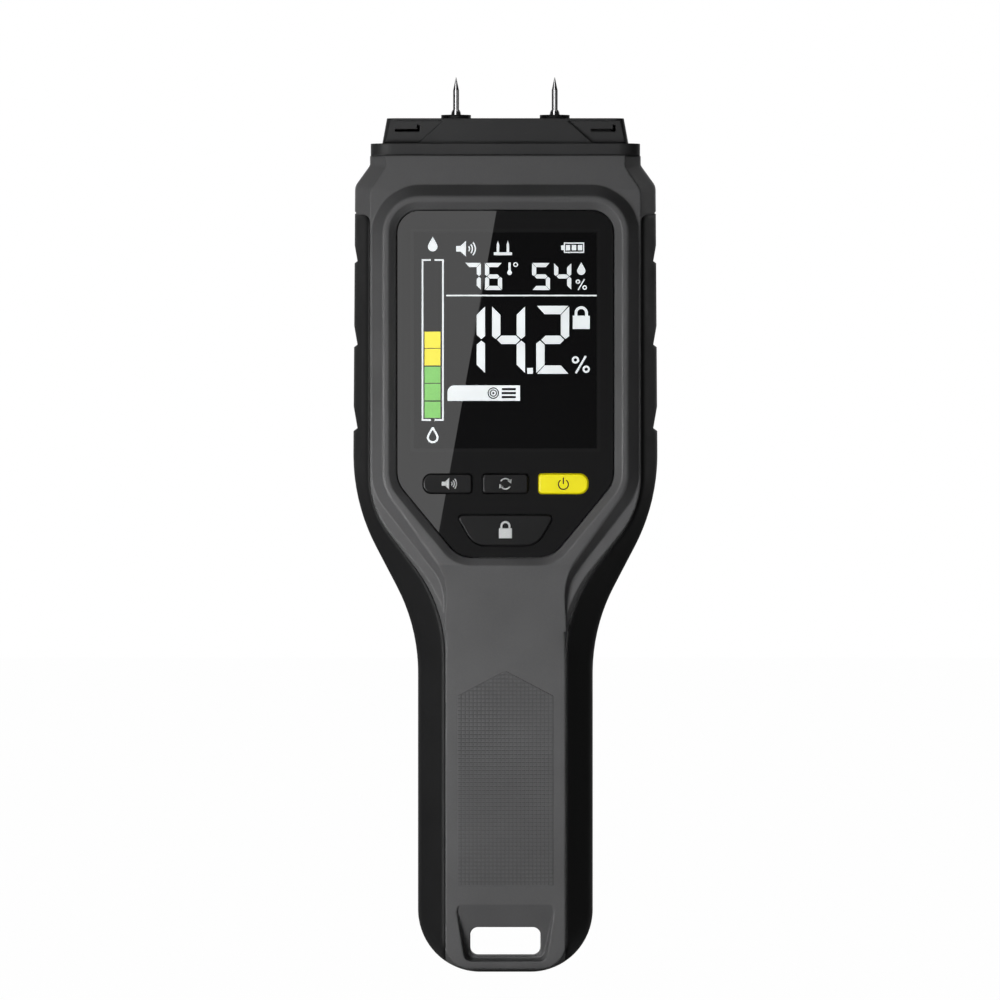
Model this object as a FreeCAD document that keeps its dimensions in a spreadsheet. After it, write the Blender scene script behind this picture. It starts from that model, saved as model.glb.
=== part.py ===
import FreeCAD, Part
import math
import os
import re
import Sketcher
from FreeCAD import Vector

# Pin moisture meter, upright: +Z towards the pins, the display faces -Y, X = 0 is the plane of symmetry.
# Depths are written as distances in front of the parting plane (Y = 0), so "front" depths are positive
# and lie at negative Y, and "behind" depths are negative. A "drop" is measured down from the size it names
# in its formula, so the head and its contents follow body_top.

SIZES = {
    # outline of the body, as half widths and heights
    "body_top": 196.4, "handle_half": 21.05, "head_half": 36.7, "shoulder_half": 36.2, "top_half": 32.6,
    "neck_low": 83.0, "neck_high": 113.0, "neck_low_round": 45.0, "neck_high_round": 48.0,
    "neck_lean": 0.24, "foot_round": 15.0, "shoulder_drop": 7.2, "chamfer_drop": 2.2,
    "shoulder_low": "=body_top - shoulder_drop", "shoulder_high": "=body_top - chamfer_drop",
    # seam between the hard shell and the rubber grips
    "seam_handle": 14.4, "seam_head": 32.5, "seam_low": 88.0, "seam_high": 111.5,
    "seam_low_round": 35.0, "seam_high_round": 22.0, "grip_drop": 14.2, "grip_top": "=body_top - grip_drop",
    "grip_corner": 1.9,
    # depths in front of and behind the parting plane
    "handle_front": 14.0, "head_front": 15.5, "ridge_front": 18.6, "side_front": 7.0,
    "side_back": 9.0, "rear_back": 17.0, "rear_lean": 4.5, "side_round": 5.0, "ramp_low": 77.0,
    "ramp_high": 98.0,
    "grip_thick": 2.5, "wall": 2.2, "cavity_front": 11.8,
    # notches across the grips
    "notch_first": 130.2, "notch_last_drop": 11.8,
    "notch_pitch": "=(grip_top - notch_first - notch_last_drop) / 2",
    "notch_deep": 1.1, "notch_run": 7.0, "notch_lip": 0.7,
    # display window and its bezel
    "lens_half": 25.9, "lens_drop": 13.4, "lens_top": "=body_top - lens_drop", "lens_foot": 99.9,
    "lens_foot_half": 11.1, "lens_slant": 117.9,
    "lens_foot_round": 7.0, "lens_slant_round": 7.0, "lens_round": 5.3, "lens_foot_lean": 0.473,
    "lens_slant_lean": 0.358, "lens_gap": 0.25,
    "lens_front": 16.9, "lens_thick": 1.8, "bezel_chamfer": 2.1, "bezel_flat": 1.4, "bezel_slope": 2.7,
    "bezel_round": 0.8, "bezel_foot": 3.65, "bezel_join_round": 12.0,
    "ledge": 2.0, "tape_thick": 0.3, "glass_corner": 2.0,
    # display stack and boards
    "lcd_half": 23.2, "lcd_low": 122.6, "lcd_drop": 2.8, "lcd_high": "=lens_top - lcd_drop",
    "lcd_thick": 2.2, "light_thick": 2.6,
    "board_half": 29.0, "board_low": 99.0, "board_drop": 9.4, "board_high": "=body_top - board_drop",
    "board_thick": 1.6, "board_front": 7.4,
    "board_corner": 12.0, "boss_x": 27.0, "boss_low": 126.0, "boss_drop": 4.5,
    "boss_high": "=board_high - boss_drop",
    # keys
    "key_row_low": 115.2, "key_row_high": 119.8, "key_gap": 0.2, "key_proud": 0.6, "key_travel": 0.8,
    "mode_half": 5.45, "side_key_in": 8.05, "side_key_out": 19.75, "hold_half": 11.9, "hold_top": 110.0,
    "hold_low": 102.6, "hold_low_half": 7.6, "key_skirt": 0.5, "stem_radius": 1.7, "dome_thick": 0.8,
    "mat_thick": 1.0,
    # sensor cap and pins
    "cap_rim_half": 32.4, "cap_rim_high": 2.9, "cap_half": 29.8, "cap_top_half": 28.5, "cap_high": 9.0,
    "cap_front": 12.2, "cap_back": 14.2, "cap_lip": 1.6, "cap_wall": 2.2, "pocket_deep": 1.0,
    "pin_x": 11.9, "pin_radius": 0.75, "pin_base": 0.95, "pin_step": 0.3, "pin_tip": 215.6, "pin_cone": 3.1,
    "collar_radius": 3.6,
    "collar_high": 1.1, "nut_radius": 1.3, "nut_high": 0.9, "socket_radius": 2.2, "socket_deep": 8.0,
    # lanyard slot
    "slot_half": 8.45, "slot_low": 3.9, "slot_high": 10.95, "slot_round": 1.9, "recess_deep": 3.2,
    "recess_low": 3.1, "recess_high": 16.4, "rear_recess_deep": 15.0, "rear_recess_half": 9.6,
    # battery bay
    "battery_half": 13.25, "battery_low": 23.0, "battery_high": 69.6, "battery_deep": 17.5,
    "bay_half": 14.0, "bay_low": 20.5, "bay_high": 84.0, "bay_gap": 0.25, "door_thick": 2.2,
    "tab_half": 3.0, "tab_x": 6.0, "tab_reach": 1.8, "tab_thick": 0.9,
    "door_screw_up": 80.0, "screw_radius": 1.15, "screw_head": 2.7, "screw_reach": 6.1,
    "insert_bore": 1.55, "insert_radius": 2.3, "insert_deep": 4.6,
    # case fasteners and the rear scan pad
    "case_screw_radius": 1.25, "case_head_radius": 2.4, "case_boss": 3.2,
    "case_x_low": 11.0, "case_z_low": 16.9, "case_x_high": 23.5, "case_drop": 6.8,
    "case_z_high": "=body_top - case_drop",
    "scan_half": 19.0, "scan_low": 128.0, "scan_drop": 18.4, "scan_high": "=body_top - scan_drop",
    "scan_deep": 1.0, "scan_round": 4.0,
}

doc = FreeCAD.newDocument("moisture_meter")
sheet = doc.addObject("Spreadsheet::Sheet", "Sizes")
for row, (alias, value) in enumerate(SIZES.items(), 1):
    sheet.set(f"A{row}", alias)
    sheet.set(f"B{row}", str(value))
    sheet.setAlias(f"B{row}", alias)
doc.recompute()

nodes = []


def bound(text):
    """The expression text with each size name looked up in the sheet."""
    return re.sub(r"[a-z][a-z_0-9]*", lambda word: "Sizes." + word.group(0), str(text))


def number(text):
    return float(sheet.evalExpression(bound(text)))


def negative(text):
    return f"-({text})"


def mirrored(right):
    """A closed outline from its right-hand corners, listed upwards."""
    return right + [(negative(x), z, r) for x, z, r in reversed(right)]


def rounded_outline(sketch, corners):
    """Draws a closed outline of straight edges whose corners (x, y, radius) are bound to the sheet."""
    points = [Vector(number(x), number(y), 0) for x, y, radius in corners]
    radii = [number(radius) if radius else 0 for x, y, radius in corners]
    count = len(points)
    starts, ends, centres, turns = [], [], [], []
    for i in range(count):
        into = (points[i] - points[i - 1]).normalize()
        out = (points[(i + 1) % count] - points[i]).normalize()
        turn = math.atan2(into.x * out.y - into.y * out.x, into.dot(out))
        reach = abs(radii[i] * math.tan(turn / 2))
        side = Vector(-into.y, into.x, 0) * math.copysign(radii[i], turn)
        starts.append(points[i] - into * reach)
        ends.append(points[i] + out * reach)
        centres.append(starts[i] + side)
        turns.append(turn)
    lines = [
        sketch.addGeometry(Part.LineSegment(ends[i], starts[(i + 1) % count]), False) for i in range(count)
    ]
    constraints = []
    bindings = []
    for i in range(count):
        before, after = lines[i - 1], lines[i]
        mark = sketch.addGeometry(Part.Point(points[i]), True)
        if radii[i]:
            first, last = (starts[i], ends[i]) if turns[i] > 0 else (ends[i], starts[i])
            near, far = (1, 2) if turns[i] > 0 else (2, 1)
            angles = [math.atan2(p.y - centres[i].y, p.x - centres[i].x) for p in (first, last)]
            if angles[1] < angles[0]:
                angles[1] += 2 * math.pi
            circle = Part.Circle(centres[i], Vector(0, 0, 1), radii[i])
            arc = sketch.addGeometry(Part.ArcOfCircle(circle, angles[0], angles[1]), False)
            constraints.append(Sketcher.Constraint("Tangent", before, 2, arc, near))
            constraints.append(Sketcher.Constraint("Tangent", arc, far, after, 1))
            bindings.append((len(constraints), corners[i][2]))
            constraints.append(Sketcher.Constraint("Radius", arc, radii[i]))
            constraints.append(Sketcher.Constraint("PointOnObject", mark, 1, before))
            constraints.append(Sketcher.Constraint("PointOnObject", mark, 1, after))
        else:
            constraints.append(Sketcher.Constraint("Coincident", before, 2, after, 1))
            constraints.append(Sketcher.Constraint("Coincident", mark, 1, after, 1))
        bindings.append((len(constraints), corners[i][0]))
        constraints.append(Sketcher.Constraint("DistanceX", -1, 1, mark, 1, points[i].x))
        bindings.append((len(constraints), corners[i][1]))
        constraints.append(Sketcher.Constraint("DistanceY", -1, 1, mark, 1, points[i].y))
    sketch.addConstraint(constraints)
    for index, text in bindings:
        sketch.setExpression(f"Constraints[{index}]", bound(text))


def new_sketch(body, plane, start, corners):
    """A sketch on one of the body's own planes. XZ sketches look from the front: their offset runs forwards."""
    sketch = body.newObject("Sketcher::SketchObject", f"{body.Name}_sketch")
    origin = [feature for feature in body.Origin.OriginFeatures if feature.Role == plane][0]
    sketch.AttachmentSupport = (origin, [""])
    sketch.MapMode = "FlatFace"
    sketch.setExpression("AttachmentOffset.Base.z", bound(start))
    rounded_outline(sketch, corners)
    return sketch


def new_body(name):
    return doc.addObject("PartDesign::Body", name)


def add_pad(body, plane, corners, start, end):
    pad = body.newObject("PartDesign::Pad", f"{body.Name}_pad")
    pad.Profile = new_sketch(body, plane, start, corners)
    pad.setExpression("Length", bound(f"({end}) - ({start})"))
    body.Tip = pad
    return pad


def add_pocket(body, plane, corners, start, end):
    pocket = body.newObject("PartDesign::Pocket", f"{body.Name}_pocket")
    pocket.Profile = new_sketch(body, plane, start, corners)
    pocket.Reversed = True
    pocket.setExpression("Length", bound(f"({end}) - ({start})"))
    body.Tip = pocket
    return pocket


def add_loft(body, plane, levels):
    """A straight-sided loft through (start, corners) levels."""
    sketches = [new_sketch(body, plane, start, corners) for start, corners in levels]
    loft = body.newObject("PartDesign::AdditiveLoft", f"{body.Name}_loft")
    loft.Profile = sketches[0]
    loft.Sections = sketches[1:]
    loft.Ruled = True
    body.Tip = loft
    return loft


def soften(body, levels, radius):
    """Rounds the edges that lie wholly at the given Y levels, below the body's top."""
    doc.recompute()
    sharp = body.Tip
    heights = [number(level) for level in levels]
    edges = [
        f"Edge{i}" for i, edge in enumerate(sharp.Shape.Edges, 1)
        if any(all(abs(p.y - y) < 1e-4 for p in edge.discretize(5)) for y in heights)
        and edge.CenterOfMass.z < number("body_top") - 0.5
    ]
    fillet = body.newObject("PartDesign::Fillet", f"{body.Name}_fillet")
    fillet.Base = (sharp, edges)
    fillet.setExpression("Radius", bound(radius))
    body.Tip = fillet


def slab(name, corners, start, end, plane="XZ_Plane"):
    body = new_body(name)
    add_pad(body, plane, corners, start, end)
    return body


def box(name, x0, x1, near, far, z0, z1):
    """A block between two X, two depths in front of the parting plane (near > far) and two heights."""
    block = doc.addObject("Part::Box", name)
    block.setExpression("Length", bound(f"({x1}) - ({x0})"))
    block.setExpression("Width", bound(f"({near}) - ({far})"))
    block.setExpression("Height", bound(f"({z1}) - ({z0})"))
    block.setExpression("Placement.Base.x", bound(x0))
    block.setExpression("Placement.Base.y", bound(negative(near)))
    block.setExpression("Placement.Base.z", bound(z0))
    return block


def rod(name, x, z, near, far, radius):
    """A cylinder along the depth, from depth near back to depth far."""
    cylinder = doc.addObject("Part::Cylinder", name)
    cylinder.Placement = FreeCAD.Placement(Vector(), FreeCAD.Rotation(Vector(1, 0, 0), -90))
    cylinder.setExpression("Radius", bound(radius))
    cylinder.setExpression("Height", bound(f"({near}) - ({far})"))
    cylinder.setExpression("Placement.Base.x", bound(x))
    cylinder.setExpression("Placement.Base.y", bound(negative(near)))
    cylinder.setExpression("Placement.Base.z", bound(z))
    return cylinder


def post(name, x, z0, z1, radius, top_radius=None, depth="0"):
    """An upright cylinder, or a cone when it has a top radius."""
    kind = "Part::Cylinder" if top_radius is None else "Part::Cone"
    upright = doc.addObject(kind, name)
    upright.setExpression("Radius" if top_radius is None else "Radius1", bound(radius))
    if top_radius is not None:
        upright.setExpression("Radius2", bound(top_radius))
    upright.setExpression("Height", bound(f"({z1}) - ({z0})"))
    upright.setExpression("Placement.Base.x", bound(x))
    upright.setExpression("Placement.Base.y", bound(negative(depth)))
    upright.setExpression("Placement.Base.z", bound(z0))
    return upright


def fuse(name, *shapes):
    union = doc.addObject("Part::MultiFuse", name)
    union.Shapes = list(shapes)
    return union


def common(name, *shapes):
    shared = doc.addObject("Part::MultiCommon", name)
    shared.Shapes = list(shapes)
    return shared


def cut(name, base, *tools):
    removed = doc.addObject("Part::Cut", name)
    removed.Base = base
    removed.Tool = tools[0] if len(tools) == 1 else fuse(f"{name}_tools", *tools)
    return removed


def group(name, *shapes):
    """Separate solids that share one node."""
    together = doc.addObject("Part::Compound", name)
    together.Links = list(shapes)
    return together


def node(thing, label):
    """Names a finished sub-part and lists it for export."""
    thing.Label = label
    nodes.append(thing)
    return thing


# ---------------------------------------------------------------- outlines

def body_outline(inset, foot, foot_round, top="body_top"):
    """Outline of the body, moved inwards by inset and standing on foot."""
    rise = f"neck_lean * ({inset})"
    return mirrored([
        (f"handle_half - ({inset})", foot, foot_round),
        (f"handle_half - ({inset})", f"neck_low + {rise}", "neck_low_round"),
        (f"head_half - ({inset})", f"neck_high + {rise}", "neck_high_round"),
        (f"shoulder_half - ({inset})", f"shoulder_low - ({inset}) * 0.4", "3"),
        (f"top_half - ({inset})", f"shoulder_high - ({inset}) * 0.4", "1.5"),
        (f"top_half - ({inset})", top, ""),
    ])


def seam_outline(handle, head, foot, foot_round, inset="0", top="body_top", drop="0"):
    """Outline of the front face, whose edge is the seam to the grips. Its shoulders lie lower by drop."""
    return mirrored([
        (handle, foot, foot_round),
        (handle, f"seam_low - ({inset})", "seam_low_round"),
        (head, f"seam_high - ({inset})", "seam_high_round"),
        (head, f"shoulder_low - 1.2 - ({inset}) * 0.4 - {drop}", "3"),
        (f"{head} - (head_half - top_half)", f"shoulder_high - 0.6 - ({inset}) * 0.4 - {drop}", "1.5"),
        (f"{head} - (head_half - top_half)", top, ""),
    ])


def lens_outline(grow):
    """Outline of the display window, moved outwards by grow."""
    return mirrored([
        (f"lens_foot_half + lens_foot_lean * ({grow})", f"lens_foot - ({grow})", f"lens_foot_round + ({grow})"),
        (f"lens_half + ({grow})", f"lens_slant - lens_slant_lean * ({grow})", f"lens_slant_round + ({grow})"),
        (f"lens_half + ({grow})", f"lens_top + ({grow})", f"lens_round + ({grow})"),
    ])


def bezel_outline(slope):
    """Outline of the bezel, which runs down the neck to the handle. It widens by slope towards its root."""
    grow = f"bezel_chamfer + bezel_flat + {slope}"
    neck = f"seam_handle - 0.6 + ({slope}) * 0.3"
    return mirrored([
        (neck, "ramp_low + 5", ""),
        (neck, f"lens_foot - bezel_foot - lens_foot_lean * ({grow})", "bezel_join_round"),
        (f"lens_half + {grow}", f"lens_slant - lens_slant_lean * ({grow})", f"lens_slant_round + {grow}"),
        (f"lens_half + {grow}", f"lens_top + {grow}", f"lens_round + {grow}"),
    ])


def rectangle(x0, x1, z0, z1, radius=""):
    return [(x1, z0, radius), (x1, z1, radius), (x0, z1, radius), (x0, z0, radius)]


# ---------------------------------------------------------------- whole body and its cavity

flank = "(handle_half - seam_handle) / (handle_front - side_front)"
front_handle = f"seam_handle - (head_front - handle_front) * {flank}"

outer = new_body("outer_form")
add_loft(outer, "XZ_Plane", [
    ("-rear_back", body_outline("rear_lean", "rear_lean * 0.6", "foot_round - 4")),
    ("-side_back - 3", body_outline("rear_lean * 0.22", "rear_lean * 0.1", "foot_round - 1")),
    ("-side_back", body_outline("0", "0", "foot_round")),
    ("side_front", body_outline("0", "0", "foot_round")),
    ("head_front", seam_outline(front_handle, "seam_head", "1.2", "4")),
])
soften(outer, [negative("side_front")], "side_round")
# side view of the front: a flat handle, a ramp up the neck and a top that leans back
add_pocket(outer, "YZ_Plane", [
    ("-60", "-5", ""), ("-handle_front + 2", "-5", ""), ("-handle_front", "1.8", "6"),
    ("-handle_front", "ramp_low", "50"), ("-ridge_front", "ramp_high", "40"), ("-ridge_front",
        "lens_top - 10", ""),
    ("-head_front", "lens_top + 5", "20"), ("-head_front + 1.4", "body_top + 5", ""), ("-60",
        "body_top + 5", ""),
], "-60", "60")

core = slab("seam_prism", mirrored([
    ("seam_handle", "-5", ""), ("seam_handle", "seam_low", "seam_low_round"),
    ("seam_head", "seam_high", "seam_high_round"), ("seam_head", "grip_top", "grip_corner"),
    ("head_half + 5", "grip_top", ""), ("head_half + 5", "body_top + 5", ""),
]), "-60", "60")

inner = new_body("inner_form")
add_loft(inner, "XZ_Plane", [
    ("-rear_back", body_outline("rear_lean + grip_thick", "rear_lean + 2", "foot_round - 6")),
    ("-side_back", body_outline("grip_thick", "grip_thick", "foot_round - 3")),
    ("side_front - 1", body_outline("grip_thick", "grip_thick", "foot_round - 3")),
    ("handle_front - 1", seam_outline("seam_handle - 1.5", "seam_head - 1.0", "5", "foot_round - 7", "-0.5")),
])

deep = "grip_thick + wall"
cavity = new_body("cavity")
bay_foot = "slot_high + wall"
cavity_top = "body_top - wall"
add_loft(cavity, "XZ_Plane", [
    ("-rear_back + wall", body_outline("rear_lean + wall", bay_foot, "4", cavity_top)),
    ("-side_back + 1", body_outline(deep, bay_foot, "4", cavity_top)),
    ("side_front - 2", body_outline(deep, bay_foot, "4", cavity_top)),
    ("cavity_front", seam_outline("seam_handle - 2.8", "seam_head - 3", bay_foot, "4", "-1", cavity_top, "2")),
])

# ---------------------------------------------------------------- rubber grips

notches = []
for side in ("", "-"):
    for index in range(4):
        lip = f"notch_first + {index} * notch_pitch"
        high = f"{lip} + notch_run" if index < 3 else f"{lip} + notch_lip + 0.3"
        if index == 3:
            lip = "grip_top"
            high = "grip_top + notch_lip + 0.5"
        tooth = [
            (f"{side}(head_half + 3)", lip, ""), (f"{side}(head_half + 3)", high, ""),
            (f"{side}(head_half + 0.02)", high, ""), (f"{side}(head_half - notch_deep)",
                f"{lip} + notch_lip", ""),
            (f"{side}(head_half - 0.1)", lip, ""),
        ]
        if side == "-":
            tooth = tooth[::-1]
        notches.append(slab(f"notch_{'left' if side else 'right'}_{index}", tooth, "-60", "60"))

grip_cut = fuse("grip_cutters", core, inner, *notches)
for label, x0, x1 in (("left_grip", "-60", "0"), ("right_grip", "0", "60")):
    half = box(f"{label}_half", x0, x1, "60", "-60", "0.4", "grip_top")
    node(cut(f"{label}_cut", common(f"{label}_side", outer, half), grip_cut), label)

# ---------------------------------------------------------------- shells

shell_region = fuse("shell_region", core, inner)
shell_form = cut("shell_form", common("shell_outer", outer, shell_region), notches[3], notches[7])

bezel = new_body("bezel")
add_loft(bezel, "XZ_Plane", [
    ("handle_front - 3", bezel_outline("bezel_slope + 1.2")),
    ("head_front", bezel_outline("bezel_slope")),
    ("ridge_front", bezel_outline("0")),
])
soften(bezel, [negative("ridge_front")], "bezel_round")
# the bezel's foot comes down the same ramp, a hair below the neck's own surface
ramp_sink = "0.02"
add_pocket(bezel, "YZ_Plane", [
    ("-60", "-5", ""), (f"-handle_front + {ramp_sink}", "-5", ""),
    (f"-handle_front + {ramp_sink}", "ramp_low", "50"),
    ("-ridge_front - 2", "ramp_high + 2 * (ramp_high - ramp_low) / (ridge_front - handle_front)", ""),
    ("-ridge_front - 2", "body_top + 20", ""),
    ("-60", "body_top + 20", ""),
], "-60", "60")

window = new_body("window")
lens_back = "lens_front - lens_thick"
ledge_front = f"{lens_back} - tape_thick"
add_loft(window, "XZ_Plane", [
    ("lens_front", lens_outline("0.2")),
    ("ridge_front + 0.5", lens_outline("bezel_chamfer * (1 + 0.5 / (ridge_front - lens_front))")),
])
lens_seat = slab("lens_seat", lens_outline("lens_gap"), ledge_front, "lens_front + 0.1")
ledge_hole = slab("ledge_hole", lens_outline("-ledge"), "0", "lens_front")

slot = slab("slot", rectangle("-slot_half", "slot_half", "slot_low", "slot_high", "slot_round"), "-60", "60")
# scoop around the slot: its floor slopes down to the foot, and the rear has a deep straight one
recess_form = new_body("recess_form")
add_loft(recess_form, "XZ_Plane", [
    ("handle_front - recess_deep", [
        ("9.2", "recess_low + 0.3", "2"), ("11.2", "recess_high", "2.5"),
        ("-11.2", "recess_high", "2.5"), ("-9.2", "recess_low + 0.3", "2")]),
    ("handle_front + 1", [
        ("10", "recess_low - 0.6", "2"), ("12.4", "recess_high + 1", "2.5"),
        ("-12.4", "recess_high + 1", "2.5"), ("-10", "recess_low - 0.6", "2")]),
])
recess_slope = new_body("recess_slope")
add_pad(recess_slope, "YZ_Plane", [
    ("-handle_front + recess_deep", "-5", ""), ("-handle_front + recess_deep", "recess_low + 1.6", "6"),
    ("-handle_front", "recess_high", ""), ("-handle_front - 2", "recess_high + 1", ""),
    ("-handle_front - 2", "-5", ""),
], "-30", "30")
slot_recess = common("slot_scoop", recess_form, recess_slope)
rear_recess = new_body("rear_recess")
add_loft(rear_recess, "XZ_Plane", [
    ("-rear_back - 1", rectangle(
        "-rear_recess_half - 1", "rear_recess_half + 1", "slot_low - 1.4", "slot_high + 0.9", "slot_round")),
    ("-rear_back + rear_recess_deep", rectangle(
        "-rear_recess_half", "rear_recess_half", "slot_low - 0.5", "slot_high + 0.3", "slot_round")),
])
top_opening = box("top_opening", "-20", "20", "8", "-8", "body_top - wall - 1", "body_top + 1")
front_half = box("front_half", "-60", "60", "60", "0", "-1", "250")
rear_half = box("rear_half", "-60", "60", "0", "-60", "-1", "250")

case_spots = [("case_x_low", "case_z_low"), ("case_x_high", "case_z_high")]
case_spots += [(negative(x), z) for x, z in case_spots]
board_spots = [(x, z) for x in ("boss_x", "-boss_x") for z in ("boss_low", "boss_high")]

board_back = "board_front - board_thick"
front_bosses = [
    rod(f"front_boss_{i}", x, z, "cavity_front + 0.5", "0", "case_boss")
    for i, (x, z) in enumerate(case_spots)
]
board_bosses = [
    rod(f"board_boss_{i}", x, z, "cavity_front + 0.5", "board_front", "2.2")
    for i, (x, z) in enumerate(board_spots)
]
pilot_holes = [
    rod(f"case_pilot_{i}", x, z, "9", "-1", "case_screw_radius")
    for i, (x, z) in enumerate(case_spots)
]
board_pilots = [
    rod(f"board_pilot_{i}", x, z, "cavity_front - 0.6", "board_front - 1", "0.8")
    for i, (x, z) in enumerate(board_spots)
]
bezel_form = common("bezel_form", bezel, core)
front_blank = fuse("front_blank", common("front_outer", shell_form, front_half), bezel_form)
front_hollow = cut("front_hollow", front_blank, cavity, window, lens_seat, ledge_hole, top_opening)
front_solid = fuse("front_solid", front_hollow, *front_bosses, *board_bosses)
front_inside = common("front_trim", front_solid, fuse("front_limit", shell_form, bezel_form))
node(cut("front_shell_cut", front_inside, slot, slot_recess, *pilot_holes, *board_pilots), "front_shell")

bay_back = "-rear_back"
door_front = "-rear_back + door_thick"
rear_bosses = [
    rod(f"rear_boss_{i}", x, z, "0", "-rear_back + wall - 0.5", "case_boss")
    for i, (x, z) in enumerate(case_spots)
]
head_wells = [
    rod(f"head_well_{i}", x, z, "-rear_back + 5", "-rear_back - 1", "case_head_radius + 0.3")
    for i, (x, z) in enumerate(case_spots)
]
screw_holes = [
    rod(f"screw_hole_{i}", x, z, "1", "-rear_back", "case_screw_radius + 0.2")
    for i, (x, z) in enumerate(case_spots)
]
rib_front = "-rear_back + wall + battery_deep + 1"
bay_ribs = [
    box("rib_left", "-bay_half - 1.6", "-bay_half - 0.1", rib_front, "-rear_back + 1", "bay_low",
        "bay_high + 1.5"),
    box("rib_right", "bay_half + 0.1", "bay_half + 1.6", rib_front, "-rear_back + 1", "bay_low",
        "bay_high + 1.5"),
    box("rib_top", "-bay_half - 1", "bay_half + 1", "-side_back + 1", "-rear_back + 1", "bay_high + 0.1",
        "bay_high + 1.6"),
]
insert_front = "-rear_back + door_thick + 0.3 + insert_deep"
insert_boss = [
    rod("insert_boss", "0", "door_screw_up", insert_front, "-rear_back + door_thick + 0.3",
        "insert_radius + 1.3"),
    box("insert_web", "-insert_radius", "insert_radius", insert_front, "-rear_back + door_thick + 0.3",
        "door_screw_up", "bay_high + 1"),
]
insert_seat = rod("insert_seat", "0", "door_screw_up", f"{insert_front} + 1", "-rear_back", "insert_radius")
door_hole = slab("door_hole", rectangle(
    "-bay_half", "bay_half", "bay_low", "bay_high", "1.2"), "-rear_back - 1", "-rear_back + wall + 0.05")
tab_slots = [
    box(f"tab_slot_{i}", f"{x} - tab_half - bay_gap", f"{x} + tab_half + bay_gap", "-rear_back + wall + 2",
        "-rear_back + wall - 0.05", "bay_low - tab_reach - 1", "bay_low + 1")
    for i, x in enumerate(("tab_x", "-tab_x"))
]
scan_seat = slab("scan_seat", rectangle(
    "-scan_half - 0.1", "scan_half + 0.1", "scan_low - 0.1", "scan_high + 0.1", "scan_round + 0.1"),
    "-rear_back - 1", "-rear_back + scan_deep")
lead_hole = rod("lead_hole", "10", "scan_high - 6", "0", "-rear_back", "1.6")
rear_hollow = cut("rear_hollow", common("rear_outer", shell_form, rear_half), cavity, top_opening)
rear_solid = fuse("rear_solid", rear_hollow, *rear_bosses, *bay_ribs, *insert_boss)
rear_inside = common("rear_trim", rear_solid, shell_form, rear_half)
node(cut("rear_shell_cut", rear_inside, slot, rear_recess, door_hole, insert_seat, scan_seat, lead_hole,
         *tab_slots, *head_wells, *screw_holes), "rear_shell")

# ---------------------------------------------------------------- display

lens = slab("lens_plate", lens_outline("0"), lens_back, "lens_front")
row_keys = {
    "sound_button": rectangle("-side_key_out", "-side_key_in", "key_row_low", "key_row_high"),
    "mode_button": rectangle("-mode_half", "mode_half", "key_row_low", "key_row_high"),
    "power_button": rectangle("side_key_in", "side_key_out", "key_row_low", "key_row_high"),
}


def key_outline(key, grow):
    """Outline of a key's cap, moved outwards by grow."""
    tall = "(key_row_high - key_row_low) / 2"
    low, high = f"key_row_low - ({grow})", f"key_row_high + ({grow})"
    if key == "hold_button":
        return mirrored([
            (f"hold_low_half + ({grow}) * 0.6", f"hold_low - ({grow})", "5"),
            (f"hold_half + ({grow}) * 1.3", f"hold_top + ({grow})", "1"),
        ])
    if key == "mode_button":
        return rectangle(f"-mode_half - ({grow})", f"mode_half + ({grow})", low, high, "0.8")
    left, right = f"side_key_in - ({grow})", f"side_key_out + ({grow})"
    end = f"{tall} * 0.86 + ({grow})"
    corners = [(right, low, end), (right, high, end), (left, high, "0.8"), (left, low, "0.8")]
    if key == "sound_button":
        corners = [(negative(x), z, r) for x, z, r in corners[::-1]]
    return corners


KEYS = {
    "sound_button": ("-(side_key_in + side_key_out) / 2", "(key_row_low + key_row_high) / 2"),
    "mode_button": ("0", "(key_row_low + key_row_high) / 2"),
    "power_button": ("(side_key_in + side_key_out) / 2", "(key_row_low + key_row_high) / 2"),
    "hold_button": ("0", "(hold_top + hold_low) / 2"),
}
key_holes = [slab(f"{key}_hole", key_outline(key, "key_gap"), "0", "60") for key in KEYS]
node(cut("lens_cut", lens, *key_holes), "display_lens")

tape = slab("tape_plate", lens_outline("-0.1"), f"{lens_back} - tape_thick + 0.02", lens_back)
tape_hole = slab("tape_hole", lens_outline("-ledge + 0.1"), "0", "60")
node(cut("tape_cut", tape, tape_hole), "lens_tape")

lcd_front = f"{ledge_front} + 0.1"
lcd_back = f"{lcd_front} - lcd_thick"
node(slab("lcd_body", rectangle("-lcd_half", "lcd_half", "lcd_low", "lcd_high", "0.8"), lcd_back, lcd_front),
     "lcd_glass")
light_back = f"{lcd_back} - light_thick"
node(slab("light_body", rectangle("-lcd_half + 0.6", "lcd_half - 0.6", "lcd_low + 3", "lcd_high - 0.6", "1"),
          light_back, f"{lcd_back} - 0.02"), "backlight")
holder = slab("holder_plate", rectangle(
    "-lcd_half + 1.4", "lcd_half - 1.4", "lcd_low + 3.6", "lcd_high - 1.4", "1"),
    "board_front + 0.02", f"{light_back} - 0.02")
holder_hole = slab("holder_hole", rectangle(
    "-lcd_half + 4", "lcd_half - 4", "lcd_low + 7", "lcd_high - 4", "1"), "0", "60")
node(cut("holder_cut", holder, holder_hole), "lcd_holder")
node(box("zebra", "-lcd_half + 3", "lcd_half - 3", f"{lcd_back} - 0.02", "board_front + 0.02",
         "lcd_low + 0.2", "lcd_low + 2.4"), "contact_strip")

# ---------------------------------------------------------------- main board

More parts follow.
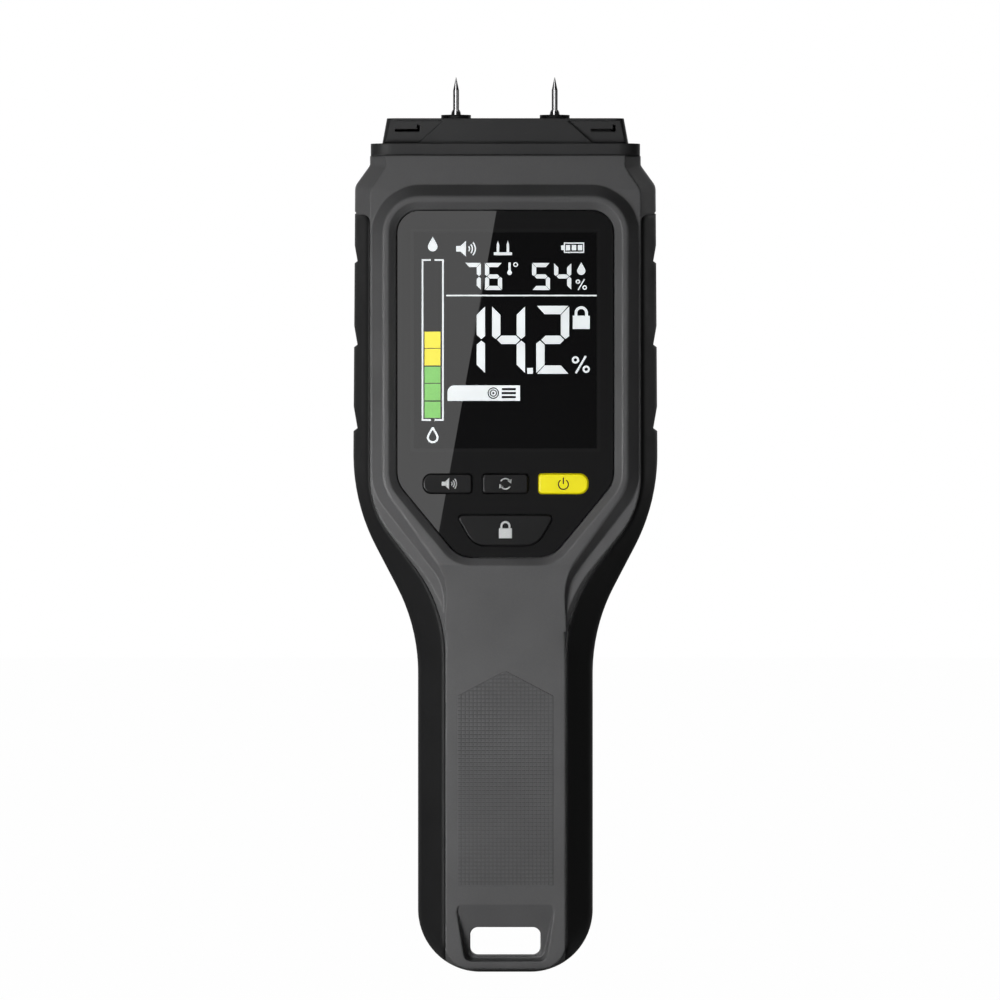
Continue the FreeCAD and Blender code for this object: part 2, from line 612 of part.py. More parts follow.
board = slab("board_plate", mirrored([
    ("board_half - board_corner", "board_low", "2"), ("board_half", "board_low + board_corner * 1.3", "4"),
    ("board_half", "board_high - 4", "2"), ("board_half - 4", "board_high", "2"),
]), board_back, "board_front")
board_holes = [rod(f"board_hole_{i}", x, z, "60", "0", "1.1") for i, (x, z) in enumerate(board_spots)]
boss_notches = [
    rod(f"boss_notch_{i}", x, z, "60", "0", "case_boss + 0.6")
    for i, (x, z) in enumerate(case_spots) if "high" in z
]
node(cut("board_cut", board, *board_holes, *boss_notches), "main_board")
chips = [
    ("processor", "-6", "6", "2.0", "board_high - 45", "board_high - 33"),
    ("amplifier", "-17", "-11", "1.6", "board_high - 24", "board_high - 16"),
    ("memory", "11", "17", "1.6", "board_high - 41", "board_high - 36"),
    ("crystal", "9", "13", "3.0", "board_high - 54", "board_high - 44"),
    ("regulator", "-20", "-13", "2.4", "board_low + 9.5", "board_low + 14"),
    ("lead_header", "-5", "5", "5.0", "board_low + 3", "board_low + 7"),
]
node(group("board_parts", *[
    box(name, x0, x1, f"{board_back} - 0.01", f"{board_back} - {tall}", z0, z1)
    for name, x0, x1, tall, z0, z1 in chips
]), "board_components")
screw_parts = []
for i, (x, z) in enumerate(board_spots):
    shank = rod(f"board_shank_{i}", x, z, "cavity_front - 1", board_back, "0.75")
    head = rod(f"board_head_{i}", x, z, f"{board_back} - 0.01", f"{board_back} - 1.4", "1.9")
    shank_long = rod(f"board_neck_{i}", x, z, f"{board_back} + 0.2", f"{board_back} - 0.5", "0.75")
    screw_parts.append(fuse(f"board_screw_{i}", shank, head, shank_long))
node(group("board_screw_set", *screw_parts), "board_screws")
buzzer_up = "board_high - 24"
buzzer = rod("buzzer_can", "18", buzzer_up, f"{board_back} - 0.01", f"{board_back} - 4.2", "5.5")
node(cut("buzzer_cut", buzzer, rod("buzzer_port", "18", buzzer_up, f"{board_back} - 3.5", "-10", "0.9")),
    "buzzer")

# ---------------------------------------------------------------- keys

mat_front = "cavity_front - 0.2"
dome_front = "board_front + 0.02 + dome_thick"
domes = []
stem_holes = []
for key, (x, z) in KEYS.items():
    cap = new_body(f"{key}_cap")
    skirt_front = f"{lens_back} - 0.25"
    add_pad(cap, "XZ_Plane", key_outline(key, "0"), f"{skirt_front} - 0.4", "lens_front + key_proud")
    add_pad(cap, "XZ_Plane", key_outline(key, "key_skirt"), f"{skirt_front} - 1", skirt_front)
    soften(cap, [negative("lens_front + key_proud")], "key_proud * 0.6")
    stem = rod(f"{key}_stem", x, z, f"{skirt_front} - 0.5", f"{dome_front} + key_travel + 0.2", "stem_radius")
    node(fuse(f"{key}_whole", cap, stem), key)
    stem_holes.append(rod(f"{key}_stem_hole", x, z, "60", "0", "stem_radius + 0.3"))
    domes.append(rod(f"{key}_dome", x, z, dome_front, "board_front + 0.02", "2.4"))
mat = slab("mat_plate", mirrored([
    ("13.5", "board_low + 2.4", "2"), ("lens_half - 1.5", "lens_slant - 1", "3"), ("lens_half - 1.5",
        "lcd_low - 0.6", "1"),
]), f"{mat_front} - mat_thick", mat_front)
node(cut("mat_cut", mat, *stem_holes), "keypad_mat")
node(group("dome_set", *domes), "dome_switches")

# ---------------------------------------------------------------- sensor cap and pins

cap_base = "body_top + 0.02"
cap_top = "body_top + cap_high"
rim_top = "body_top + cap_rim_high"


def cap_ring(half, grow, radius):
    """A rounded rectangle in plan. Its front edge lies at negative Y."""
    front, back = f"-(cap_front + ({grow}))", f"cap_back + ({grow})"
    return [(half, front, radius), (half, back, radius), (negative(half), back, radius),
            (negative(half), front, radius)]


sensor = new_body("cap_form")
add_pad(sensor, "XY_Plane", cap_ring("cap_rim_half", "cap_lip", "5"), cap_base, rim_top)
add_loft(sensor, "XY_Plane", [
    (f"{rim_top} - 1", cap_ring("cap_half", "0", "3")),
    (cap_top, cap_ring("cap_top_half", "-0.6", "2.4")),
])
add_pocket(sensor, "XY_Plane", cap_ring("cap_half - cap_wall - 1", "-cap_wall - 0.6", "2"),
           "body_top - 1", f"{cap_top} - cap_wall")
doc.recompute()
cap_cutters = []
for side in ("", "-"):
    where = "left" if side else "right"
    pocket = [
        (f"{side}20.8", "body_top + 3.2", ""), (f"{side}35", "body_top + 3.2", ""),
        (f"{side}35", "body_top + 8.4", ""), (f"{side}15", "body_top + 8.4", ""),
    ]
    if side:
        pocket = pocket[::-1]
    slit_left, slit_right = ("-26.5", "-20.6") if side else ("20.6", "26.5")
    slit = rectangle(slit_left, slit_right, "body_top + 5.8", "body_top + 6.4")
    leg = rectangle(f"{slit_right} - 0.6", slit_right, "body_top + 6.3", "body_top + 7.4")
    cap_cutters.append(slab(f"cap_pocket_{where}", pocket, "cap_front - pocket_deep", "60"))
    cap_cutters.append(slab(f"cap_slit_{where}", slit, "cap_front - 6", "60"))
    cap_cutters.append(slab(f"cap_leg_{where}", leg, "cap_front - 6", "60"))
pin_bores = [
    post(f"pin_bore_{i}", x, "body_top - 2", f"{cap_top} + 1", "socket_radius") for i, x in
    enumerate(("pin_x", "-pin_x"))
]
pin_towers = [
    post(f"pin_tower_{i}", x, cap_base, f"{cap_top} - 0.5", "socket_radius + 1.4") for i, x in
    enumerate(("pin_x", "-pin_x"))
]
node(cut("cap_cut", fuse("cap_solid", sensor, *pin_towers), *cap_cutters, *pin_bores), "sensor_cap")

collar_top = f"{cap_top} + collar_high"
sockets = []
collars = []
nuts = []
for label, x in (("left_pin", "-pin_x"), ("right_pin", "pin_x")):
    socket = post(f"{label}_socket", x, f"{cap_top} - socket_deep", cap_top, "socket_radius - 0.02")
    sockets.append(cut(f"{label}_socket_cut", socket, post(
        f"{label}_socket_bore", x, f"{cap_top} - socket_deep + 2", f"{cap_top} + 1", "pin_base + 0.03")))
    collar = post(f"{label}_collar", x, f"{cap_top} + 0.02", collar_top, "collar_radius")
    collars.append(cut(f"{label}_collar_cut", collar, post(
        f"{label}_collar_bore", x, cap_top, f"{cap_top} + 3", "pin_base + 0.05")))
    nut = post(f"{label}_nut", x, f"{collar_top} + 0.02", f"{collar_top} + nut_high", "nut_radius",
        "pin_base + 0.15")
    nuts.append(cut(f"{label}_nut_cut", nut, post(
        f"{label}_nut_bore", x, cap_top, f"{cap_top} + 5", "pin_base + 0.02")))
    root = post(f"{label}_root", x, f"{cap_top} - socket_deep + 2.2",
        f"{collar_top} + nut_high + pin_step", "pin_base")
    shaft = post(f"{label}_shaft", x, collar_top, "pin_tip - pin_cone", "pin_radius")
    tip = post(f"{label}_tip", x, "pin_tip - pin_cone", "pin_tip", "pin_radius", "0.06")
    node(fuse(f"{label}_whole", root, shaft, tip), label)
node(group("socket_set", *sockets), "pin_sockets")
node(group("collar_set", *collars), "pin_collars")
node(group("nut_set", *nuts), "pin_nuts")
node(box("humidity_board", "18.5", "25.5", "cap_front - cap_wall - 0.9", "cap_front - cap_wall - 2.1",
         "body_top + 0.1", f"{cap_top} - cap_wall - 0.3"), "humidity_sensor")

# ---------------------------------------------------------------- battery bay

battery_back = "-rear_back + door_thick + 0.9"
battery_front = f"{battery_back} + battery_deep"
battery_body = slab("battery_can", [
    (x, y, "1.5") for x, y in (
        ("battery_half", negative(battery_front)), ("battery_half", negative(battery_back)),
        ("-battery_half", negative(battery_back)), ("-battery_half", negative(battery_front)))
], "battery_low", "battery_high", "XY_Plane")
studs = [
    post(f"battery_stud_{i}", x, "battery_high - 0.5", "battery_high + 2", radius,
         depth=f"({battery_front} + {battery_back}) / 2")
    for i, (x, radius) in enumerate((("-6.35", "2.9"), ("6.35", "3.6")))
]
node(fuse("battery_whole", battery_body, *studs), "battery")
snap = slab("snap_plate", rectangle(
    "-12.4", "12.4", f"-({battery_front} + {battery_back}) / 2 - 5.8", f"-({battery_front} + {battery_back}) / 2 + 5.8",
    "2"), "battery_high + 0.05", "battery_high + 3.6", "XY_Plane")
stud_holes = [
    post(f"stud_hole_{i}", x, "battery_high - 1", "battery_high + 2.2", radius,
         depth=f"({battery_front} + {battery_back}) / 2")
    for i, (x, radius) in enumerate((("-6.35", "2.95"), ("6.35", "3.65")))
]
node(cut("snap_cut", snap, *stud_holes), "battery_snap")
node(slab("pad_plate", rectangle("-9", "9", "battery_low + 8", "battery_high - 10", "1"),
          "-rear_back + door_thick + 0.05", f"{battery_back} - 0.1"), "battery_pad")

door = new_body("door_plate")
add_pad(door, "XZ_Plane", rectangle(
    "-bay_half + bay_gap", "bay_half - bay_gap", "bay_low + bay_gap", "bay_high - bay_gap", "1"),
    "-rear_back", door_front)
tabs = [
    box(f"tab_{i}", f"{x} - tab_half", f"{x} + tab_half", f"{door_front} + tab_thick", f"{door_front} - 0.4",
        "bay_low + bay_gap + 0.1", "bay_low + 3")
    for i, x in enumerate(("tab_x", "-tab_x"))
]
tab_hooks = [
    box(f"hook_{i}", f"{x} - tab_half", f"{x} + tab_half", f"{door_front} + tab_thick",
        f"{door_front} + 0.25", "bay_low - tab_reach", "bay_low + 2")
    for i, x in enumerate(("tab_x", "-tab_x"))
]
screw_well = rod("screw_well", "0", "door_screw_up", "-rear_back + 1.4", "-rear_back - 1", "screw_head + 0.2")
screw_hole = rod("door_screw_hole", "0", "door_screw_up", "0", "-rear_back", "screw_radius + 0.15")
grooves = [
    box(f"door_groove_{i}", "-5", "5", "-rear_back + 0.5", "-rear_back - 1", f"66 + {i} * 2", f"66.9 + {i} * 2")
    for i in range(4)
]
node(cut("door_cut", fuse("door_solid", door, *tabs, *tab_hooks), screw_well, screw_hole, *grooves),
    "battery_door")

screw_slots = [
    box("screw_slot_a", "-0.3", "0.3", "-rear_back + 0.7", "-rear_back - 1", "door_screw_up - 1.9",
        "door_screw_up + 1.9"),
    box("screw_slot_b", "-1.9", "1.9", "-rear_back + 0.7", "-rear_back - 1", "door_screw_up - 0.3",
        "door_screw_up + 0.3"),
]
node(cut("door_screw_cut", fuse(
    "door_screw_solid",
    rod("door_screw_head", "0", "door_screw_up", "-rear_back + 1.38", "-rear_back + 0.1", "screw_head"),
    rod("door_screw_shank", "0", "door_screw_up", "-rear_back + screw_reach", "-rear_back + 1", "screw_radius"),
), *screw_slots), "door_screw")
node(cut("insert_cut",
         rod("insert_body", "0", "door_screw_up", f"{insert_front} - 0.02", "-rear_back + door_thick + 0.32",
             "insert_radius - 0.02"),
         rod("insert_bore_tool", "0", "door_screw_up", "0", "-rear_back", "insert_bore")), "door_insert")

# ---------------------------------------------------------------- case screws, seal and scan pad

case_screws = []
for i, (x, z) in enumerate(case_spots):
    head = rod(f"case_head_{i}", x, z, "-rear_back + 4.98", "-rear_back + 3", "case_head_radius")
    shank = rod(f"case_shank_{i}", x, z, "7.5", "-rear_back + 4", "case_screw_radius - 0.02")
    recess = box(f"case_drive_{i}", f"{x} - 0.9", f"{x} + 0.9", "-rear_back + 4", "-rear_back + 2",
                 f"{z} - 0.9", f"{z} + 0.9")
    case_screws.append(cut(f"case_screw_{i}", fuse(f"case_screw_solid_{i}", head, shank), recess))
node(group("case_screw_set", *case_screws), "case_screws")

node(slab("scan_plate_body", rectangle("-scan_half", "scan_half", "scan_low", "scan_high", "scan_round"),
          "-rear_back", "-rear_back + scan_deep - 0.02"), "scan_pad")
node(box("scan_electrode_body", "-scan_half + 3", "scan_half - 3", "-rear_back + wall + 0.7",
         "-rear_back + wall + 0.02", "scan_low + 4", "scan_high - 12"), "scan_electrode")

# ---------------------------------------------------------------- wires

def wire(name, route, radius):
    """A round lead along straight runs joined by arcs, from a route of (x, depth, z) expressions."""
    points = [Vector(number(x), -number(depth), number(z)) for x, depth, z in route]
    runs = [(b - a).Length for a, b in zip(points, points[1:])]
    edges = []
    last = points[0]
    for i in range(1, len(points) - 1):
        into = (points[i] - points[i - 1]).normalize()
        out = (points[i + 1] - points[i]).normalize()
        turn = into.getAngle(out)
        reach = 0.45 * min(runs[i - 1], runs[i])
        arc_start, arc_end = points[i] - into * reach, points[i] + out * reach
        bulge = reach * (1 / math.cos(turn / 2) - 1) / math.tan(turn / 2) * 1.0
        inward = (out - into).normalize()
        middle = points[i] + inward * bulge
        edges.append(Part.LineSegment(last, arc_start).toShape())
        edges.append(Part.Arc(arc_start, middle, arc_end).toShape())
        last = arc_end
    edges.append(Part.LineSegment(last, points[-1]).toShape())
    path = Part.Wire(edges)
    start = (points[1] - points[0]).normalize()
    profile = Part.Wire(Part.Circle(points[0], start, number(radius)).toShape())
    thing = doc.addObject("Part::Feature", name)
    thing.Shape = path.makePipeShell([profile], True, False)
    return thing


snap_depth = f"({battery_front} + {battery_back}) / 2"
lead_set = []
for i, x in enumerate(("-3", "3")):
    lead_set.append(wire(f"battery_lead_{i}", [
        (x, snap_depth, "battery_high + 3.65"), (x, snap_depth, "battery_high + 9"),
        (x, f"{board_back} - 3", "bay_high + 8"), (x, f"{board_back} - 3", "board_low + 2.95")], "0.6"))
node(group("battery_lead_set", *lead_set), "battery_leads")
pin_leads = []
for i, side in enumerate(("-", "")):
    pin_leads.append(wire(f"pin_lead_{i}", [
        (f"{side}pin_x", "0", f"{cap_top} - socket_deep - 0.05"), (f"{side}pin_x", "0", "body_top - 6"),
        (f"{side}10", f"{board_back} - 2", "body_top - 14"), (f"{side}10", f"{board_back} - 0.56",
            "body_top - 20")],
        "0.5"))
node(group("pin_lead_set", *pin_leads), "pin_leads")

# ---------------------------------------------------------------- checks and export

doc.recompute()
for thing in doc.Objects:
    if "Invalid" in thing.State or "Error" in thing.State:
        raise RuntimeError(f"{thing.Name} did not build: {thing.State}")
os.makedirs("parts", exist_ok=True)
for thing in nodes:
    shape = thing.Shape
    if shape.isNull() or not shape.isValid() or not shape.Solids:
        raise RuntimeError(f"{thing.Label} has no valid solid")
    shape.exportStep(f"parts/{thing.Label}.step")
    size = shape.BoundBox
    print(f"{thing.Label:18s} {len(shape.Solids)} solids  {shape.Volume:9.1f} mm3  "
          f"x {size.XMin:6.1f} {size.XMax:6.1f}  y {size.YMin:6.1f} {size.YMax:6.1f}  z {size.ZMin:6.1f} {size.ZMax:6.1f}")
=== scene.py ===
import math

import bmesh
import bpy
from bpy.props import FloatProperty, FloatVectorProperty, PointerProperty
from bpy.types import Operator, Panel, PropertyGroup
from mathutils import Matrix, Vector
from mathutils.bvhtree import BVHTree


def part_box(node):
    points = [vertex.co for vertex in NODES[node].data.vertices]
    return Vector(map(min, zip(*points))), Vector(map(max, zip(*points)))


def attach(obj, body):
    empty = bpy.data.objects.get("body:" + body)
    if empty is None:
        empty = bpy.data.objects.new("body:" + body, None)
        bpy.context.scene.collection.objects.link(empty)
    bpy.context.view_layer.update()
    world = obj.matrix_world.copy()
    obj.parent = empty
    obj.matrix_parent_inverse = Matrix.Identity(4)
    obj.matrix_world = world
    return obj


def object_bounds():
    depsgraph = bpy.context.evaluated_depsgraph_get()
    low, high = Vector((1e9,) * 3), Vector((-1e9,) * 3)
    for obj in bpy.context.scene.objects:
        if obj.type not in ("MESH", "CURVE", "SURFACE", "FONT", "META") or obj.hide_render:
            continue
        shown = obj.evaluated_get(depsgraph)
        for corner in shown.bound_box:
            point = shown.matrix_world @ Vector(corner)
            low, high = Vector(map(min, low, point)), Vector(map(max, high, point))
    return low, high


bl_info = {
    "name": "Moisture meter finish",
    "version": (1, 0, 0),
    "blender": (4, 5, 0),
    "location": "3D View > Sidebar > Meter",
    "description": "Finishes a pin moisture meter: shells, grips, display, keys, pins and a studio stage",
    "category": "Object",
}

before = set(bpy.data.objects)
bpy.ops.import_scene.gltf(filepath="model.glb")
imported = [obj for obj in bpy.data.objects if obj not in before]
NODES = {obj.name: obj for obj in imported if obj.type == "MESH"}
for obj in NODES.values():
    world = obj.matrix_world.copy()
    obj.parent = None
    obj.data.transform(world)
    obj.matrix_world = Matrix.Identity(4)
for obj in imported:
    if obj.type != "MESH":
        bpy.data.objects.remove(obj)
cad_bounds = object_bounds()

MM = 0.001
LENS_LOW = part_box("display_lens")[0]
LENS_FACE = LENS_LOW.y
BODY_MIDDLE = (cad_bounds[0][2] + cad_bounds[1][2]) / 2
HANDLE_FACE = -14 * MM
MARK_THICK = 0.03 * MM


# ---------------------------------------------------------------- settings

class MeterFinish(PropertyGroup):
    shell_colour: FloatVectorProperty(
        name="Shell", description="Colour of the hard shells", subtype="COLOR", size=3,
        default=(0.11, 0.11, 0.112), min=0, max=1)
    rubber_colour: FloatVectorProperty(
        name="Grips", description="Colour of the rubber grips", subtype="COLOR", size=3,
        default=(0.012, 0.012, 0.0125), min=0, max=1)
    cap_colour: FloatVectorProperty(
        name="Cap", description="Colour of the sensor cap", subtype="COLOR", size=3,
        default=(0.026, 0.026, 0.027), min=0, max=1)
    key_colour: FloatVectorProperty(
        name="Power key", description="Colour of the power key", subtype="COLOR", size=3,
        default=(1.0, 0.88, 0.004), min=0, max=1)
    edge_round: FloatProperty(
        name="Edge round", description="Radius of the moulded edges", unit="LENGTH", default=0.7 * MM)
    grip_round: FloatProperty(
        name="Grip round", description="Radius of the soft edges of the grips", unit="LENGTH", default=1.8 * MM)


class MeterDisplay(PropertyGroup):
    lit_colour: FloatVectorProperty(
        name="Lit marks", description="Colour of the white marks", subtype="COLOR", size=3,
        default=(0.82, 0.86, 0.87), min=0, max=1)
    medium_colour: FloatVectorProperty(
        name="Medium bars", description="Colour of the bars for damp wood", subtype="COLOR", size=3,
        default=(0.85, 0.75, 0.06), min=0, max=1)
    dry_colour: FloatVectorProperty(
        name="Dry bars", description="Colour of the bars for dry wood", subtype="COLOR", size=3,
        default=(0.22, 0.56, 0.14), min=0, max=1)
    stroke: FloatProperty(
        name="Line width", description="Width of the thin lines on the display", unit="LENGTH",
        default=0.4 * MM)


class MeterStage(PropertyGroup):
    camera_distance: FloatProperty(
        name="Camera distance", description="From the camera to the window", unit="LENGTH", default=3.0)
    view_width: FloatProperty(
        name="View width", description="Width of the view at the window", unit="LENGTH", default=0.24)
    key_power: FloatProperty(name="Key light", description="Power of the key light in watts", default=0.27)
    fill_power: FloatProperty(name="Fill light", description="Power of the fill light in watts", default=0.12)
    pin_light: FloatProperty(name="Pin card", description="Brightness of the card the pins mirror", default=2.0)
    card_light: FloatProperty(name="Card", description="Brightness of the card the window mirrors", default=1.8)
    room_light: FloatProperty(name="Room", description="Brightness of the room in front", default=0.012)
    backdrop_light: FloatProperty(name="Backdrop", description="Brightness of the backdrop", default=0.8)


# ---------------------------------------------------------------- mesh helpers

def finish_mesh(bm, name, body, material, smooth_angle=30.0):
    """Turns a bmesh into a piece that rides on a body."""
    mesh = bpy.data.meshes.new(name)
    bm.to_mesh(mesh)
    bm.free()
    mesh.materials.append(material)
    piece = bpy.data.objects.new(name, mesh)
    bpy.context.scene.collection.objects.link(piece)
    mesh.polygons.foreach_set("use_smooth", [True] * len(mesh.polygons))
    mesh.set_sharp_from_angle(angle=math.radians(smooth_angle))
    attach(piece, body)
    return piece


def thicken(bm, faces, thick):
    """Makes a plate of faces that lie flat together, towards -Y."""
    for face in faces:
        face.normal_update()
        if face.normal.y < 0:
            face.normal_flip()
    pushed = bmesh.ops.extrude_face_region(bm, geom=faces)
    moved = [item for item in pushed["geom"] if isinstance(item, bmesh.types.BMVert)]
    bmesh.ops.translate(bm, verts=moved, vec=(0, -thick, 0))


def add_polygon(bm, points, y, thick=MARK_THICK):
    """A flat plate facing -Y at depth y, from a few (x, z) corners in millimetres."""
    corners = [bm.verts.new((x * MM, y, z * MM)) for x, z in points]
    thicken(bm, [bm.faces.new(corners)], thick)


def add_bar(bm, x0, x1, z0, z1, y, thick=MARK_THICK):
    """A rectangular plate, in millimetres."""
    add_polygon(bm, [(x0, z0), (x1, z0), (x1, z1), (x0, z1)], y, thick)


def add_line(bm, start, end, width, y):
    """A straight stroke between two (x, z) points."""
    along = Vector((end[0] - start[0], end[1] - start[1]))
    side = Vector((-along.y, along.x)).normalized() * width / 2
    a, b = Vector(start), Vector(end)
    add_polygon(bm, [a - side, b - side, b + side, a + side], y)


def add_arc(bm, centre, radius, width, start, end, y, steps=20):
    """A curved stroke about a centre, between two angles in degrees; 0 points to +X, 90 upwards."""
    turn = math.radians(end - start)
    inner = Vector((centre[0] + (radius - width / 2) * math.cos(math.radians(start)),
                    centre[1] + (radius - width / 2) * math.sin(math.radians(start))))
    outer = Vector((centre[0] + (radius + width / 2) * math.cos(math.radians(start)),
                    centre[1] + (radius + width / 2) * math.sin(math.radians(start))))
    section = [
        bm.verts.new((point.x * MM, y - depth, point.y * MM))
        for point, depth in ((inner, 0), (outer, 0), (outer, MARK_THICK), (inner, MARK_THICK))
    ]
    face = bm.faces.new(section)
    edges = list(face.edges)
    full = abs(end - start) >= 360
    if full:
        bmesh.ops.delete(bm, geom=[face], context="FACES_ONLY")
    middle = Vector((centre[0] * MM, 0, centre[1] * MM))
    spun = bmesh.ops.spin(bm, geom=edges, cent=middle, axis=(0, -1, 0), angle=turn, steps=steps,
                          use_merge=full)
    if not full:
        last = [item for item in spun["geom_last"] if isinstance(item, bmesh.types.BMEdge)]
        bmesh.ops.edgeloop_fill(bm, edges=last)


def add_frame(bm, half, low, high, rim, y, thick):
    """A rectangular ring round the area from -half to half and from low to high, in millimetres."""
    made = bmesh.ops.create_grid(bm, x_segments=1, y_segments=1, size=0.5)
    corners = made["verts"]
    bmesh.ops.scale(bm, verts=corners, vec=((2 * (half + rim)) * MM, (high - low + 2 * rim) * MM, 1))
    bmesh.ops.rotate(bm, verts=corners, matrix=Matrix.Rotation(math.pi / 2, 3, "X"))
    bmesh.ops.translate(bm, verts=corners, vec=(0, y, (low + high) / 2 * MM))
    inner = corners[0].link_faces[0]
    ring = bmesh.ops.inset_region(bm, faces=[inner], thickness=rim * MM, use_boundary=True)["faces"]
    bmesh.ops.delete(bm, geom=[inner], context="FACES")
    thicken(bm, ring, thick)


def add_disc(bm, centre, radius, y):
    """A round plate facing -Y about an (x, z) centre in millimetres."""
    made = bmesh.ops.create_circle(bm, cap_ends=True, segments=28, radius=radius * MM)
    bmesh.ops.rotate(bm, verts=made["verts"], matrix=Matrix.Rotation(math.pi / 2, 3, "X"))
    bmesh.ops.translate(bm, verts=made["verts"], vec=(centre[0] * MM, y, centre[1] * MM))
    thicken(bm, [made["verts"][0].link_faces[0]], MARK_THICK)


def tidy_normals(bm):
    """Turns every closed shell's faces outwards."""
    bmesh.ops.recalc_face_normals(bm, faces=bm.faces)


# ---------------------------------------------------------------- shader groups

def new_group(name, inputs, outputs):
    """An empty shader group with its sockets, its input node and its output node."""
    tree = bpy.data.node_groups.new(name, "ShaderNodeTree")
    for label, kind, value in inputs:
        socket = tree.interface.new_socket(label, in_out="INPUT", socket_type=kind)
        if value is not None:
            socket.default_value = value
    for label, kind in outputs:
        tree.interface.new_socket(label, in_out="OUTPUT", socket_type=kind)
    return tree, tree.nodes.new("NodeGroupInput"), tree.nodes.new("NodeGroupOutput")


def noise(tree, vector, scale, detail, roughness=0.5):
    """A noise mask from 0 to 1; the scale is a number or a socket."""
    node = tree.nodes.new("ShaderNodeTexNoise")
    node.inputs["Detail"].default_value = detail
    node.inputs["Roughness"].default_value = roughness
    tree.links.new(vector, node.inputs["Vector"])
    if hasattr(scale, "is_linked"):
        tree.links.new(scale, node.inputs["Scale"])
    else:
        node.inputs["Scale"].default_value = scale
    return node.outputs["Fac"]


def spread(tree, value, low, high, to_low, to_high):
    """The value eased from one range to another; the limits are numbers or sockets."""
    node = tree.nodes.new("ShaderNodeMapRange")
    node.interpolation_type = "SMOOTHSTEP"
    tree.links.new(value, node.inputs["Value"])
    for label, amount in (("From Min", low), ("From Max", high), ("To Min", to_low), ("To Max", to_high)):
        if hasattr(amount, "is_linked"):
            tree.links.new(amount, node.inputs[label])
        else:
            node.inputs[label].default_value = amount
    return node.outputs["Result"]


def combine(tree, operation, first, second):
    """A math operation on two numbers or sockets."""
    node = tree.nodes.new("ShaderNodeMath")
    node.operation = operation
    for socket, value in zip(node.inputs, (first, second)):
        if hasattr(value, "is_linked"):
            tree.links.new(value, socket)
        else:
            socket.default_value = value
    return node.outputs[0]


def moulded_grain_group():
    """Spark-eroded mould texture: a fine height, with a slow mottling of the tone and of the gloss."""
    tree, start, end = new_group("moulded_grain", [
        ("Vector", "NodeSocketVector", None), ("Grain Scale", "NodeSocketFloat", 2600.0),
        ("Mottle Scale", "NodeSocketFloat", 60.0), ("Tone Low", "NodeSocketFloat", 0.92),
        ("Tone High", "NodeSocketFloat", 1.08), ("Gloss Low", "NodeSocketFloat", 0.42),
        ("Gloss High", "NodeSocketFloat", 0.58),
    ], [("Height", "NodeSocketFloat"), ("Tone", "NodeSocketFloat"), ("Roughness", "NodeSocketFloat")])
    grain = noise(tree, start.outputs["Vector"], start.outputs["Grain Scale"], 3.0)
    coarse = noise(tree, start.outputs["Vector"], combine(
        tree, "MULTIPLY", start.outputs["Grain Scale"], 0.35), 2.0)
    mottle = noise(tree, start.outputs["Vector"], start.outputs["Mottle Scale"], 4.0, 0.6)
    height = combine(tree, "ADD", grain, combine(tree, "MULTIPLY", coarse, 0.6))
    mixed = combine(tree, "ADD", combine(tree, "MULTIPLY", mottle, 0.7), combine(tree, "MULTIPLY", grain, 0.3))
    tone = spread(tree, mixed, 0.3, 0.7, start.outputs["Tone Low"], start.outputs["Tone High"])
    gloss = spread(tree, mottle, 0.3, 0.7, start.outputs["Gloss Low"], start.outputs["Gloss High"])
    tree.links.new(height, end.inputs["Height"])
    tree.links.new(tone, end.inputs["Tone"])
    tree.links.new(gloss, end.inputs["Roughness"])
    return tree


def handling_group():
    """Faint smears and fine dust from handling, as two masks."""
    tree, start, end = new_group("handling_marks", [
        ("Vector", "NodeSocketVector", None), ("Smear Scale", "NodeSocketFloat", 35.0),
        ("Dust Scale", "NodeSocketFloat", 900.0),
    ], [("Smear", "NodeSocketFloat"), ("Dust", "NodeSocketFloat")])
    smear = noise(tree, start.outputs["Vector"], start.outputs["Smear Scale"], 6.0, 0.65)
    dust = noise(tree, start.outputs["Vector"], start.outputs["Dust Scale"], 2.0, 0.5)
    tree.links.new(spread(tree, smear, 0.52, 0.75, 0.0, 1.0), end.inputs["Smear"])
    tree.links.new(spread(tree, dust, 0.68, 0.78, 0.0, 1.0), end.inputs["Dust"])
    return tree


def turned_metal_group():
    """Fine rings left by turning or drawing, along Z."""
    tree, start, end = new_group("turned_metal", [
        ("Vector", "NodeSocketVector", None), ("Ring Scale", "NodeSocketFloat", 6000.0),
        ("Gloss Low", "NodeSocketFloat", 0.1), ("Gloss High", "NodeSocketFloat", 0.25),
    ], [("Height", "NodeSocketFloat"), ("Roughness", "NodeSocketFloat"), ("Tone", "NodeSocketFloat")])
    squash = tree.nodes.new("ShaderNodeMapping")
    squash.inputs["Scale"].default_value = (0.05, 0.05, 1.0)
    tree.links.new(start.outputs["Vector"], squash.inputs["Vector"])
    rings = noise(tree, squash.outputs["Vector"], start.outputs["Ring Scale"], 2.0)
    stain = noise(tree, start.outputs["Vector"], 300.0, 3.0)
    tree.links.new(rings, end.inputs["Height"])
    tree.links.new(spread(tree, rings, 0.3, 0.7, start.outputs["Gloss Low"], start.outputs["Gloss High"]),
                   end.inputs["Roughness"])
    tree.links.new(spread(tree, stain, 0.3, 0.7, 0.9, 1.05), end.inputs["Tone"])
    return tree


GROUPS = {}


def group_node(tree, name, vector, **values):
    """Places a shared group in a material, and makes the group at its first use."""
    makers = {"moulded_grain": moulded_grain_group, "handling_marks": handling_group,
              "turned_metal": turned_metal_group}
    if name not in GROUPS:
        GROUPS[name] = makers[name]()
    node = tree.nodes.new("ShaderNodeGroup")
    node.node_tree = GROUPS[name]
    tree.links.new(vector, node.inputs["Vector"])
    for label, value in values.items():
        node.inputs[label.replace("_", " ").title()].default_value = value
    return node


